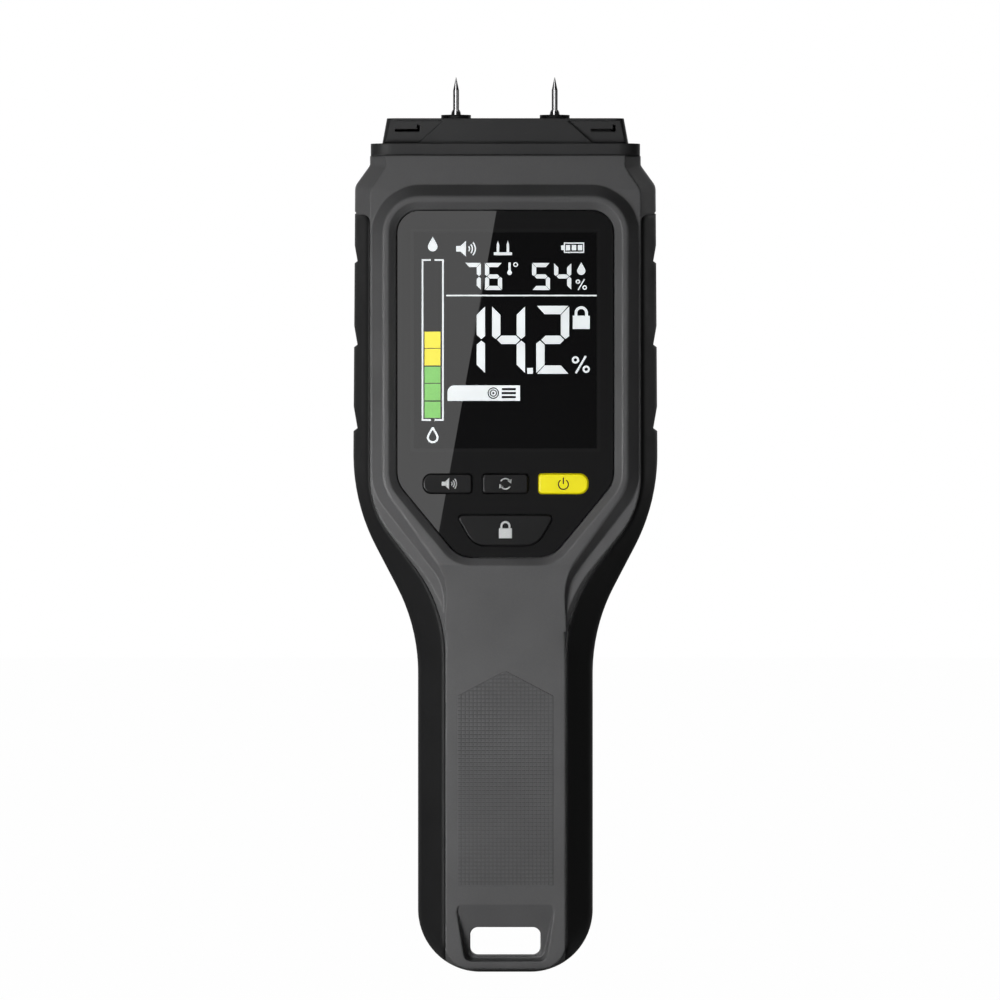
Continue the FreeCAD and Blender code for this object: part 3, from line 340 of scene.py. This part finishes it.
def start_material(name):
    """A new material with its tree, its Principled shader and the object's own coordinates."""
    material = bpy.data.materials.new(name)
    material.use_nodes = True
    tree = material.node_tree
    shader = tree.nodes["Principled BSDF"]
    place = tree.nodes.new("ShaderNodeTexCoord").outputs["Object"]
    return material, tree, shader, place


def tinted(tree, colour, tone):
    """The colour scaled by a varying tone."""
    scale = tree.nodes.new("ShaderNodeVectorMath")
    scale.operation = "SCALE"
    scale.inputs[0].default_value = colour
    tree.links.new(tone, scale.inputs["Scale"])
    return scale.outputs["Vector"]


def bump(tree, shader, height, strength, distance, edge=0.0):
    """Fine relief, over edges softened by a small radius."""
    node = tree.nodes.new("ShaderNodeBump")
    if edge:
        soft = tree.nodes.new("ShaderNodeBevel")
        soft.samples = 8
        soft.inputs["Radius"].default_value = edge
        tree.links.new(soft.outputs["Normal"], node.inputs["Normal"])
    node.inputs["Strength"].default_value = strength
    node.inputs["Distance"].default_value = distance
    tree.links.new(height, node.inputs["Height"])
    tree.links.new(node.outputs["Normal"], shader.inputs["Normal"])


def moulded_material(name, colour, gloss=(0.42, 0.58), grain=2600.0, depth=0.02, dust=0.12, edge=0.35,
                     specular=0.5, glow=0.0):
    """Moulded plastic or rubber with a fine grain, mottled tone, smears and a little dust, and an optional
    painted glow.
    """
    material, tree, shader, place = start_material(name)
    skin = group_node(tree, "moulded_grain", place, grain_scale=grain, gloss_low=gloss[0], gloss_high=gloss[1])
    marks = group_node(tree, "handling_marks", place)
    base = tinted(tree, colour, skin.outputs["Tone"])
    dusted = tree.nodes.new("ShaderNodeMix")
    dusted.data_type = "RGBA"
    dusted.inputs["B"].default_value = [min(1.0, c * 1.5 + 0.03) for c in colour] + [1.0]
    tree.links.new(base, dusted.inputs["A"])
    tree.links.new(combine(tree, "MULTIPLY", marks.outputs["Dust"], dust), dusted.inputs["Factor"])
    tree.links.new(dusted.outputs["Result"], shader.inputs["Base Color"])
    # painted glow: the colour is also sent out as light, so a part that is no lamp shines brighter than the
    # lamps make it
    if glow:
        tree.links.new(dusted.outputs["Result"], shader.inputs["Emission Color"])
        shader.inputs["Emission Strength"].default_value = glow
    smeared = combine(tree, "SUBTRACT", skin.outputs["Roughness"], combine(
        tree, "MULTIPLY", marks.outputs["Smear"], 0.06))
    tree.links.new(smeared, shader.inputs["Roughness"])
    shader.inputs["Specular IOR Level"].default_value = specular
    bump(tree, shader, skin.outputs["Height"], 0.35, depth * MM, edge * MM)
    return material


def polished_material(name, colour, roughness=0.003, dust=0.05):
    """Polished window plastic with faint smears."""
    material, tree, shader, place = start_material(name)
    marks = group_node(tree, "handling_marks", place, smear_scale=22.0)
    dusted = tree.nodes.new("ShaderNodeMix")
    dusted.data_type = "RGBA"
    dusted.inputs["A"].default_value = list(colour) + [1.0]
    dusted.inputs["B"].default_value = [c + 0.03 for c in colour] + [1.0]
    tree.links.new(combine(tree, "MULTIPLY", marks.outputs["Dust"], dust), dusted.inputs["Factor"])
    tree.links.new(dusted.outputs["Result"], shader.inputs["Base Color"])
    tree.links.new(combine(tree, "ADD", combine(tree, "MULTIPLY", marks.outputs["Smear"], 0.012), roughness),
                   shader.inputs["Roughness"])
    return material


def metal_material(name, colour, gloss=(0.1, 0.25), depth=0.004):
    """Turned metal; the depth of its rings is in millimetres."""
    material, tree, shader, place = start_material(name)
    metal = group_node(tree, "turned_metal", place, gloss_low=gloss[0], gloss_high=gloss[1])
    tree.links.new(tinted(tree, colour, metal.outputs["Tone"]), shader.inputs["Base Color"])
    tree.links.new(metal.outputs["Roughness"], shader.inputs["Roughness"])
    shader.inputs["Metallic"].default_value = 1.0
    bump(tree, shader, metal.outputs["Height"], 0.25, depth * MM)
    return material


def lit_material(name, colour, glow=0.5):
    """A lit mark seen under the polished window, with a faint uneven backlight."""
    material, tree, shader, place = start_material(name)
    skin = group_node(tree, "moulded_grain", place, mottle_scale=90.0, gloss_low=0.03, gloss_high=0.07)
    colours = tinted(tree, colour, skin.outputs["Tone"])
    tree.links.new(colours, shader.inputs["Base Color"])
    tree.links.new(colours, shader.inputs["Emission Color"])
    tree.links.new(skin.outputs["Roughness"], shader.inputs["Roughness"])
    shader.inputs["Emission Strength"].default_value = glow
    return material


def build_materials():
    """Every material of the object, by its short name."""
    look = bpy.context.scene.meter_finish
    display = bpy.context.scene.meter_display
    made = {
        "shell": moulded_material("shell_plastic", look.shell_colour, edge=look.edge_round / MM),
        "studs": moulded_material("stud_plastic", look.shell_colour, edge=0.0),
        "rubber": moulded_material("grip_rubber", look.rubber_colour, (0.46, 0.56), 1900.0, 0.02,
                                   edge=look.grip_round / MM, specular=0.25),
        "cap": moulded_material("cap_plastic", look.cap_colour, (0.45, 0.6)),
        "window": polished_material("window_black", (0.019, 0.019, 0.0195)),
        "display": polished_material("display_black", (0.0085, 0.0085, 0.009)),
        "display_edge": polished_material("display_edge", (0.022, 0.022, 0.0225)),
        "key": moulded_material("key_black", (0.008, 0.008, 0.0085), (0.28, 0.36), 3200.0, 0.008,
                                specular=0.35),
        # the yellow power key gets a painted glow of 0.2 that brightens it beyond its lighting; the key is no
        # lamp
        "power_key": moulded_material("key_yellow", look.key_colour, (0.3, 0.4), 3200.0, 0.008, glow=0.2),
        "key_mark": moulded_material("key_print", (0.8, 0.82, 0.82), (0.4, 0.5), 3200.0, 0.004),
        "key_dark_mark": moulded_material("key_print_dark", (0.04, 0.035, 0.01), (0.4, 0.5), 3200.0, 0.004),
        "lit": lit_material("marks_white", display.lit_colour),
        "medium": lit_material("bars_medium", display.medium_colour),
        "dry": lit_material("bars_dry", display.dry_colour),
        "label_dark": lit_material("label_dark", (0.012, 0.012, 0.013), 0.0),
        "steel": metal_material("pin_steel", (0.8, 0.8, 0.81), (0.12, 0.2), 0.0005),
        "screw": metal_material("screw_steel", (0.42, 0.42, 0.43), (0.25, 0.4)),
        "brass": metal_material("socket_brass", (0.72, 0.52, 0.24), (0.2, 0.35)),
        "copper": metal_material("electrode_copper", (0.75, 0.42, 0.28), (0.25, 0.4)),
        "board": moulded_material("board_green", (0.015, 0.09, 0.035), (0.2, 0.32), 1400.0, 0.01),
        "chip": moulded_material("chip_black", (0.012, 0.012, 0.013), (0.4, 0.5)),
        "inner": moulded_material("inner_black", (0.02, 0.02, 0.021)),
        "silicone": moulded_material("silicone_grey", (0.2, 0.21, 0.22), (0.5, 0.6)),
        "foam": moulded_material("foam_grey", (0.06, 0.06, 0.062), (0.85, 0.95), 900.0, 0.2),
        "battery": moulded_material("battery_jacket", (0.1, 0.1, 0.11), (0.25, 0.35)),
        "wire": moulded_material("wire_black", (0.02, 0.02, 0.022), (0.35, 0.45)),
        "light": moulded_material("backlight_white", (0.75, 0.77, 0.8), (0.5, 0.6)),
        "scan": moulded_material("scan_plastic", (0.022, 0.022, 0.023), (0.5, 0.62), 1200.0, 0.03),
    }
    return made


MATERIALS = {}


def material(name):
    """One of the object's materials."""
    if not MATERIALS:
        MATERIALS.update(build_materials())
    return MATERIALS[name]


CAD_FINISHES = {
    "sensor_cap": "cap", "display_lens": "window", "lens_tape": "inner", "lcd_glass": "window",
    "backlight": "light", "lcd_holder": "inner", "contact_strip": "silicone", "main_board": "board",
    "board_components": "chip", "board_screws": "screw", "buzzer": "inner", "sound_button": "key",
    "mode_button": "key", "power_button": "power_key", "hold_button": "key", "keypad_mat": "silicone",
    "dome_switches": "steel", "left_pin": "steel", "right_pin": "steel", "pin_sockets": "brass",
    "pin_collars": "cap", "pin_nuts": "steel", "humidity_sensor": "inner", "battery": "battery",
    "battery_snap": "inner", "battery_pad": "foam", "battery_door": "shell", "door_screw": "screw",
    "door_insert": "brass", "case_screws": "screw", "scan_pad": "scan", "scan_electrode": "copper",
    "battery_leads": "wire", "pin_leads": "wire", "front_shell": "shell", "rear_shell": "shell",
    "left_grip": "rubber", "right_grip": "rubber",
}


class METER_OT_cad_finishes(Operator):
    """Gives every CAD node its material"""
    bl_idname = "meter.cad_finishes"
    bl_label = "Finish CAD nodes"

    def execute(self, context):
        for node, finish in CAD_FINISHES.items():
            mesh = NODES[node].data
            mesh.materials.clear()
            mesh.materials.append(material(finish))
        return {"FINISHED"}


# ---------------------------------------------------------------- display marks

# Places on the window are in millimetres: x from the middle, z above the window's lower edge.
MARKS_FLOOR = LENS_LOW.z / MM


def lifted(points):
    """The (x, z) points with z measured from the floor instead of from the window's lower edge."""
    return [(x, z + MARKS_FLOOR) for x, z in points]


SEGMENTS = {
    "0": "abcdef", "1": "bc", "2": "abged", "3": "abgcd", "4": "fgbc", "5": "afgcd", "6": "afgedc",
    "7": "abc", "8": "abcdefg", "9": "abcdfg",
}


def add_digit(bm, figure, x0, x1, z0, z1, thick, y):
    """One seven-segment figure with mitred ends."""
    gap = thick * 0.1
    middle = (z0 + z1) / 2
    shapes = {
        "a": [(x0 + gap, z1), (x1 - gap, z1), (x1 - thick, z1 - thick), (x0 + thick, z1 - thick)],
        "d": [(x0 + gap, z0), (x1 - gap, z0), (x1 - thick, z0 + thick), (x0 + thick, z0 + thick)],
        "g": [(x0 + thick * 0.6, middle), (x0 + thick * 1.1, middle + thick / 2),
              (x1 - thick * 1.1, middle + thick / 2), (x1 - thick * 0.6, middle),
              (x1 - thick * 1.1, middle - thick / 2), (x0 + thick * 1.1, middle - thick / 2)],
    }
    for name, side, outer, inner in (("b", 1, x1, x1 - thick), ("f", -1, x0, x0 + thick)):
        shapes[name] = [(outer, z1 - gap), (outer, middle + thick * 0.45),
                        (outer - side * thick * 0.45, middle + gap), (inner, middle + thick * 0.6),
                        (inner, z1 - thick - gap)]
    for name, side, outer, inner in (("c", 1, x1, x1 - thick), ("e", -1, x0, x0 + thick)):
        shapes[name] = [(outer, z0 + gap), (outer, middle - thick * 0.45),
                        (outer - side * thick * 0.45, middle - gap), (inner, middle - thick * 0.6),
                        (inner, z0 + thick + gap)]
    for name in SEGMENTS[figure]:
        add_polygon(bm, shapes[name], y)


def add_drop(bm, x, z, size, y, hollow=False):
    """A water drop, solid or in outline."""
    radius = size * 0.32
    low = z - size * 0.16
    if hollow:
        add_arc(bm, (x, low), radius, size * 0.13, 150, 390, y)
        for side in (-1, 1):
            root = (x + side * radius * math.cos(math.radians(30)), low + radius * 0.5)
            add_line(bm, root, (x, z + size * 0.5), size * 0.13, y)
        return
    tip = [(x, z + size * 0.5)]
    rounds = [
        (x + radius * math.cos(math.radians(angle)), low + radius * math.sin(math.radians(angle)))
        for angle in range(150, 391, 12)
    ]
    add_polygon(bm, tip + rounds, y)


def add_speaker(bm, x, z, size, y):
    """A loudspeaker with two sound waves, size high."""
    add_polygon(bm, [
        (x - size * 0.62, z - size * 0.17), (x - size * 0.36, z - size * 0.17),
        (x - size * 0.02, z - size * 0.48), (x - size * 0.02, z + size * 0.48),
        (x - size * 0.36, z + size * 0.17), (x - size * 0.62, z + size * 0.17),
    ], y)
    for reach in (0.22, 0.4, 0.58):
        add_arc(bm, (x - size * 0.02, z), size * reach, size * 0.085, -42, 42, y, 10)


def add_padlock(bm, x, z, size, y):
    """A closed padlock, size high."""
    half = size * 0.37
    add_polygon(bm, [(x - half, z - size * 0.5), (x + half, z - size * 0.5), (x + half, z + size * 0.08),
                     (x - half, z + size * 0.08)], y)
    arch = (x, z + size * 0.2)
    add_arc(bm, arch, size * 0.23, size * 0.12, 0, 180, y)
    for side in (-1, 1):
        add_bar(bm, x + side * size * 0.23 - size * 0.06, x + side * size * 0.23 + size * 0.06,
                z + size * 0.07, z + size * 0.2, y)


def add_percent(bm, x, z, size, y):
    """A percent sign."""
    add_line(bm, (x - size * 0.28, z - size * 0.48), (x + size * 0.28, z + size * 0.48), size * 0.11, y)
    for side in (-1, 1):
        add_arc(bm, (x + side * size * 0.3, z - side * size * 0.26), size * 0.15, size * 0.11, 0, 360, y)


def add_probe_sign(bm, x, z, size, y):
    """Two pins standing on a bar."""
    add_bar(bm, x - size * 0.62, x + size * 0.62, z - size * 0.5, z - size * 0.3, y)
    for side in (-1, 1):
        middle = x + side * size * 0.34
        add_polygon(bm, [
            (middle - size * 0.09, z - size * 0.28), (middle + size * 0.09, z - size * 0.28),
            (middle + size * 0.09, z + size * 0.2), (middle, z + size * 0.5),
            (middle - size * 0.09, z + size * 0.2),
        ], y)


def add_battery_sign(bm, x0, x1, z0, z1, y):
    """A battery outline with three charge bars and its knob on the left."""
    line = (z1 - z0) * 0.11
    knob = (z1 - z0) * 0.25
    left = x0 + knob
    add_bar(bm, left, x1, z0, z0 + line, y)
    add_bar(bm, left, x1, z1 - line, z1, y)
    add_bar(bm, x1 - line, x1, z0 + line, z1 - line, y)
    add_bar(bm, left, left + line, z0 + line, z1 - line, y)
    add_bar(bm, x0, left, z0 + (z1 - z0) * 0.28, z1 - (z1 - z0) * 0.28, y)
    step = (x1 - left - 2 * line) / 3
    for i in range(3):
        start = left + line + i * step + step * 0.14
        add_bar(bm, start, start + step * 0.72, z0 + line * 2.2, z1 - line * 2.2, y)


def add_thermometer(bm, x, z, size, y):
    """A thermometer with a degree ring beside it."""
    add_disc(bm, (x, z - size * 0.32), size * 0.19, y)
    add_bar(bm, x - size * 0.09, x + size * 0.09, z - size * 0.2, z + size * 0.5, y)
    add_arc(bm, (x + size * 0.48, z + size * 0.33), size * 0.15, size * 0.09, 0, 360, y)


class METER_OT_display(Operator):
    """Makes the display area, its frame line and its lit marks"""
    bl_idname = "meter.display"
    bl_label = "Make display"

    def execute(self, context):
        stroke = context.scene.meter_display.stroke / MM
        half, low, high = 21.9, 26.1 + MARKS_FLOOR, 77.9 + MARKS_FLOOR
        y = LENS_FACE - 0.012 * MM
        area = bmesh.new()
        add_bar(area, -half, half, low, high, LENS_FACE - 0.002 * MM, 0.01 * MM)
        tidy_normals(area)
        finish_mesh(area, "display_area", "housing", material("display"))
        edge = bmesh.new()
        rim = 0.9
        add_frame(edge, half, low, high, rim, LENS_FACE - 0.002 * MM, 0.008 * MM)
        tidy_normals(edge)
        finish_mesh(edge, "display_frame_line", "housing", material("display_edge"))

        floor = MARKS_FLOOR
        white = bmesh.new()
        # scale at the left, from dry to wet
        left, right, foot, top = -20.1, -14.8, 32.7 + floor, 71.5 + floor
        add_bar(white, left, left + stroke, foot, top, y)
        add_bar(white, right - stroke, right, foot, top, y)
        for z in (foot, top - stroke):
            add_bar(white, left + stroke, left + 2.2, z, z + stroke, y)
            add_bar(white, right - 2.2, right - stroke, z, z + stroke, y)
        add_drop(white, -17.45, 75.1 + floor, 3.6, y)
        add_drop(white, -17.45, 29.3 + floor, 3.6, y, hollow=True)
        # top row
        add_speaker(white, -9.4, 74.0 + floor, 3.9, y)
        add_probe_sign(white, -0.6, 74.2 + floor, 3.5, y)
        add_battery_sign(white, 13.4, 18.9, 73.0 + floor, 75.5 + floor, y)
        # small figures
        for figure, x0, x1 in (("7", -9.7, -5.9), ("6", -4.9, -0.8), ("5", 6.4, 10.7), ("4", 11.7, 15.8)):
            add_digit(white, figure, x0, x1, 64.1 + floor, 70.6 + floor, 1.0, y)
        add_thermometer(white, 1.0, 69.2 + floor, 3.0, y)
        add_drop(white, 18.2, 69.2 + floor, 3.1, y)
        add_percent(white, 18.2, 65.4 + floor, 2.7, y)
        add_bar(white, -14.2, 21.9, 62.6 + floor, 62.95 + floor, y)
        # large figures
        for figure, x0, x1 in (("1", -12.9, -4.9), ("4", -3.2, 4.7), ("2", 7.4, 15.3)):
            add_digit(white, figure, x0, x1, 44.0 + floor, 60.3 + floor, 2.0, y)
        add_bar(white, 5.25, 6.6, 44.0 + floor, 45.4 + floor, y)
        add_padlock(white, 18.2, 57.5 + floor, 5.5, y)
        add_percent(white, 18.1, 46.2 + floor, 4.3, y)
        # label bar with a round upper left corner
        corner = 1.6
        label = [(-13.9, 37.5), (3.5, 37.5), (3.5, 41.2), (-13.9 + corner, 41.2)]
        label += [
            (-13.9 + corner - corner * math.sin(math.radians(angle)),
             41.2 - corner + corner * math.cos(math.radians(angle)))
            for angle in range(15, 91, 15)
        ]
        add_polygon(white, lifted(label), y)
        tidy_normals(white)
        finish_mesh(white, "display_marks", "housing", material("lit"))

        for name, finish, rows in (("display_bars_medium", "medium", ((50.2, 54.1), (46.0, 50.0))),
                                   ("display_bars_dry", "dry", ((41.8, 45.7), (37.6, 41.6), (33.4, 37.3)))):
            bars = bmesh.new()
            for z0, z1 in rows:
                add_bar(bars, -19.4, -15.6, z0 + floor, z1 + floor, y)
            tidy_normals(bars)
            finish_mesh(bars, name, "housing", material(finish))

        # wood sign on the label: the end of a log and two boards
        sign = bmesh.new()
        upper = y - MARK_THICK
        middle = 39.35 + floor
        for radius in (1.25, 0.75):
            add_arc(sign, (-2.9, middle), radius, 0.28, 0, 360, upper)
        add_disc(sign, (-2.9, middle), 0.28, upper)
        for z in (middle + 0.95, middle, middle - 0.95):
            add_bar(sign, -0.9, 2.5, z - 0.28, z + 0.28, upper)
        tidy_normals(sign)
        finish_mesh(sign, "display_wood_sign", "housing", material("label_dark"))
        return {"FINISHED"}


# ---------------------------------------------------------------- key signs

class METER_OT_key_signs(Operator):
    """Prints a plain sign on each key"""
    bl_idname = "meter.key_signs"
    bl_label = "Make key signs"

    def execute(self, context):
        def face(key):
            low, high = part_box(key)
            return low.y - 0.002 * MM

        def middle(key):
            low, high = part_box(key)
            return (low.x + high.x) / 2 / MM, (low.z + high.z) / 2 / MM

        x, z = middle("sound_button")
        sign = bmesh.new()
        add_speaker(sign, x + 0.5, z, 3.0, face("sound_button"))
        tidy_normals(sign)
        finish_mesh(sign, "sound_sign", "sound_button_body", material("key_mark"))

        x, z = middle("mode_button")
        sign = bmesh.new()
        for side in (-1, 1):
            add_arc(sign, (x, z), 1.25, 0.34, 30 if side > 0 else 210, 150 if side > 0 else 330,
                    face("mode_button"))
            tip = (x + side * 1.25 * math.cos(math.radians(30)), z + side * 1.25 * 0.5)
            add_polygon(sign, [(tip[0] - side * 0.62, tip[1] + side * 0.1),
                               (tip[0] + side * 0.42, tip[1] + side * 0.5),
                               (tip[0] + side * 0.3, tip[1] - side * 0.62)], face("mode_button"))
        tidy_normals(sign)
        finish_mesh(sign, "mode_sign", "mode_button_body", material("key_mark"))

        x, z = middle("power_button")
        sign = bmesh.new()
        add_arc(sign, (x, z - 0.15), 1.2, 0.3, 122, 418, face("power_button"), 30)
        add_bar(sign, x - 0.17, x + 0.17, z - 0.1, z + 1.5, face("power_button"))
        tidy_normals(sign)
        finish_mesh(sign, "power_sign", "power_button_body", material("key_dark_mark"))

        x, z = middle("hold_button")
        sign = bmesh.new()
        add_padlock(sign, x, z + 0.2, 4.2, face("hold_button"))
        tidy_normals(sign)
        finish_mesh(sign, "hold_sign", "hold_button_body", material("key_mark"))
        return {"FINISHED"}


# ---------------------------------------------------------------- handle

class METER_OT_handle_texture(Operator):
    """Raises a patch of small square studs on the front of the handle"""
    bl_idname = "meter.handle_texture"
    bl_label = "Make handle texture"

    def execute(self, context):
        # the patch in millimetres: stud pitch, half width, lower edge, shoulders and tip
        pitch, half, foot, shoulder, apex = 0.96, 11.5, 21.0, 66.6, 72.6
        groove, stud_high, lift, backing = 0.17 * MM, 0.09 * MM, 0.01 * MM, 0.03 * MM
        columns = round(2 * half / pitch)
        rows = round((apex - foot) / pitch)
        bm = bmesh.new()
        bmesh.ops.create_grid(bm, x_segments=columns, y_segments=rows, size=0.5)
        bmesh.ops.scale(bm, verts=bm.verts, vec=(2 * half * MM, (apex - foot) * MM, 1))
        bmesh.ops.rotate(bm, verts=bm.verts, matrix=Matrix.Rotation(math.pi / 2, 3, "X"))
        bmesh.ops.translate(bm, verts=bm.verts, vec=(0, HANDLE_FACE - lift, (apex + foot) / 2 * MM))
        for side in (-1, 1):
            slope = Vector((side * (apex - shoulder), 0, half)).normalized()
            bmesh.ops.bisect_plane(bm, geom=list(bm.verts) + list(bm.edges) + list(bm.faces), dist=1e-7,
                                   plane_co=(0, 0, apex * MM), plane_no=slope, clear_outer=True)
        slopes = set(bmesh.ops.inset_individual(bm, faces=list(bm.faces), thickness=groove)["faces"])
        tops = {corner for face in bm.faces if face not in slopes for corner in face.verts}
        bmesh.ops.translate(bm, verts=list(tops), vec=(0, -stud_high, 0))
        tidy_normals(bm)
        for face in bm.faces:
            if face.normal.y > 0:
                face.normal_flip()
        # the patch follows the shell under it, and gets a thin backing
        surface = BVHTree.FromObject(NODES["front_shell"], bpy.context.evaluated_depsgraph_get())
        for vertex in bm.verts:
            raised = HANDLE_FACE - lift - vertex.co.y
            start = Vector((vertex.co.x, -0.05, vertex.co.z))
            hit = surface.ray_cast(start, Vector((0, 1, 0)))[0]
            vertex.co.y = hit.y - lift - raised
        bmesh.ops.solidify(bm, geom=list(bm.faces), thickness=backing)
        tidy_normals(bm)
        finish_mesh(bm, "handle_texture", "housing", material("studs"))
        return {"FINISHED"}


# ---------------------------------------------------------------- stage

def aim(thing, target):
    """Turns a lamp towards a point."""
    direction = Vector(target) - thing.location
    thing.rotation_euler = direction.to_track_quat("-Z", "Y").to_euler()


def area_light(name, place, target, width, height, watts):
    """A white rectangular lamp that the camera doesn't see."""
    lamp = bpy.data.lights.new(name, "AREA")
    lamp.shape = "RECTANGLE"
    lamp.size = width
    lamp.size_y = height
    lamp.energy = watts
    holder = bpy.data.objects.new(name, lamp)
    holder.location = place
    aim(holder, target)
    holder.visible_camera = False
    bpy.context.scene.collection.objects.link(holder)
    return holder


def mirrored_card(name, place, half_size, slant, strength):
    """An upright glowing card that is seen only in reflections."""
    bm = bmesh.new()
    bmesh.ops.create_grid(bm, x_segments=1, y_segments=1, size=1)
    bmesh.ops.scale(bm, verts=bm.verts, vec=(*half_size, 1))
    bmesh.ops.rotate(bm, verts=bm.verts, matrix=Matrix.Rotation(math.pi / 2, 3, "X"))
    bmesh.ops.rotate(bm, verts=bm.verts, matrix=Matrix.Rotation(slant, 3, "Y"))
    bmesh.ops.translate(bm, verts=bm.verts, vec=place)
    mesh = bpy.data.meshes.new(name)
    bm.to_mesh(mesh)
    bm.free()
    card = bpy.data.objects.new(name, mesh)
    bpy.context.scene.collection.objects.link(card)
    card.visible_camera = False
    card.visible_diffuse = False
    card.visible_shadow = False
    bright = bpy.data.materials.new(f"{name}_white")
    bright.use_nodes = True
    tree = bright.node_tree
    glow = tree.nodes.new("ShaderNodeEmission")
    glow.inputs["Strength"].default_value = strength
    tree.links.new(glow.outputs["Emission"], tree.nodes["Material Output"].inputs["Surface"])
    mesh.materials.append(bright)


class METER_OT_stage(Operator):
    """Makes the floor, the lights, the world and the camera"""
    bl_idname = "meter.stage"
    bl_label = "Make stage"

    def execute(self, context):
        scene = context.scene
        stage = scene.meter_stage
        middle = (0.0, 0.0, BODY_MIDDLE)

        bm = bmesh.new()
        bmesh.ops.create_grid(bm, x_segments=1, y_segments=1, size=6.0)
        mesh = bpy.data.meshes.new("floor")
        bm.to_mesh(mesh)
        bm.free()
        floor = bpy.data.objects.new("floor", mesh)
        scene.collection.objects.link(floor)
        white = bpy.data.materials.new("floor_white")
        white.use_nodes = True
        tree = white.node_tree
        shader = tree.nodes["Principled BSDF"]
        shader.inputs["Base Color"].default_value = (0.85, 0.85, 0.85, 1)
        shader.inputs["Roughness"].default_value = 1.0
        shader.inputs["Specular IOR Level"].default_value = 0.0
        glow = tree.nodes.new("ShaderNodeEmission")
        mix = tree.nodes.new("ShaderNodeMixShader")
        path = tree.nodes.new("ShaderNodeLightPath")
        seen = combine(tree, "MULTIPLY", path.outputs["Is Camera Ray"], 0.99)
        tree.links.new(seen, mix.inputs["Fac"])
        glow.inputs["Color"].default_value = (1, 1, 1, 1)
        tree.links.new(shader.outputs["BSDF"], mix.inputs[1])
        tree.links.new(glow.outputs["Emission"], mix.inputs[2])
        tree.links.new(mix.outputs["Shader"], tree.nodes["Material Output"].inputs["Surface"])
        mesh.materials.append(white)

        world = bpy.data.worlds.new("studio")
        scene.world = world
        world.use_nodes = True
        tree = world.node_tree
        room = tree.nodes["Background"]
        room.inputs["Color"].default_value = (1, 1, 1, 1)
        # the backdrop is white behind the object, and the room in front of it is dark
        towards = tree.nodes.new("ShaderNodeSeparateXYZ")
        tree.links.new(tree.nodes.new("ShaderNodeTexCoord").outputs["Generated"], towards.inputs["Vector"])
        lit = spread(tree, towards.outputs["Y"], 0.35, 0.9, stage.room_light, stage.backdrop_light)
        tree.links.new(lit, room.inputs["Strength"])
        backdrop = tree.nodes.new("ShaderNodeBackground")
        backdrop.inputs["Color"].default_value = (1, 1, 1, 1)
        blend = tree.nodes.new("ShaderNodeMixShader")
        path = tree.nodes.new("ShaderNodeLightPath")
        tree.links.new(path.outputs["Is Camera Ray"], blend.inputs["Fac"])
        tree.links.new(room.outputs["Background"], blend.inputs[1])
        tree.links.new(backdrop.outputs["Background"], blend.inputs[2])
        tree.links.new(blend.outputs["Shader"], tree.nodes["World Output"].inputs["Surface"])

        key = area_light("key_light", (-0.27, -0.38, 0.07), (0, 0, 0.075), 0.2, 0.1, stage.key_power)
        key.data.spread = math.radians(75)
        area_light("fill_light", (0.45, -0.6, 0.3), middle, 0.3, 0.3, stage.fill_power)

        # The window mirrors the slanting edge of this card, which stands beside the camera.
        edge_low, edge_high = Vector((-0.0305, 0.099)), Vector((-0.0031, 0.2516))
        slant = math.atan2(edge_high.x - edge_low.x, edge_high.y - edge_low.y)
        half_wide, half_tall = 0.2, 0.3
        centre = (edge_low + edge_high) / 2 - Vector((math.cos(slant), -math.sin(slant))) * half_wide
        place = (centre.x, LENS_FACE - stage.camera_distance, centre.y)
        mirrored_card("window_card", place, (half_wide, half_tall), slant, stage.card_light)
        # The pins mirror this one, which stands too high for the window.
        mirrored_card("pin_card", (-0.13, -0.35, 0.32), (0.11, 0.115), 0.0, stage.pin_light)

        camera = bpy.data.cameras.new("camera")
        holder = bpy.data.objects.new("camera", camera)
        scene.collection.objects.link(holder)
        holder.location = (-1.3 * MM, LENS_FACE - stage.camera_distance, 113.6 * MM)
        holder.rotation_euler = (math.pi / 2, 0, 0)
        camera.sensor_width = 36.0
        camera.lens = camera.sensor_width * stage.camera_distance / stage.view_width
        camera.clip_end = 50.0
        scene.camera = holder
        scene.view_settings.view_transform = "Standard"
        return {"FINISHED"}


class METER_PT_panel(Panel):
    bl_label = "Moisture meter"
    bl_idname = "METER_PT_panel"
    bl_space_type = "VIEW_3D"
    bl_region_type = "UI"
    bl_category = "Meter"

    def draw(self, context):
        scene = context.scene
        for settings in (scene.meter_finish, scene.meter_display, scene.meter_stage):
            for name in settings.__annotations__:
                self.layout.prop(settings, name)
        for step in STEPS:
            self.layout.operator(step.bl_idname)


SETTINGS = {"meter_finish": MeterFinish, "meter_display": MeterDisplay, "meter_stage": MeterStage}
STEPS = (METER_OT_cad_finishes, METER_OT_handle_texture, METER_OT_display,
         METER_OT_key_signs, METER_OT_stage)


def register():
    for name, settings in SETTINGS.items():
        bpy.utils.register_class(settings)
        setattr(bpy.types.Scene, name, PointerProperty(type=settings))
    for item in STEPS + (METER_PT_panel,):
        bpy.utils.register_class(item)


def unregister():
    for item in reversed(STEPS + (METER_PT_panel,)):
        bpy.utils.unregister_class(item)
    for name, settings in SETTINGS.items():
        delattr(bpy.types.Scene, name)
        bpy.utils.unregister_class(settings)


def main():
    register()
    for step in STEPS:
        family, name = step.bl_idname.split(".")
        getattr(getattr(bpy.ops, family), name)()


if __name__ == "__main__":
    main()
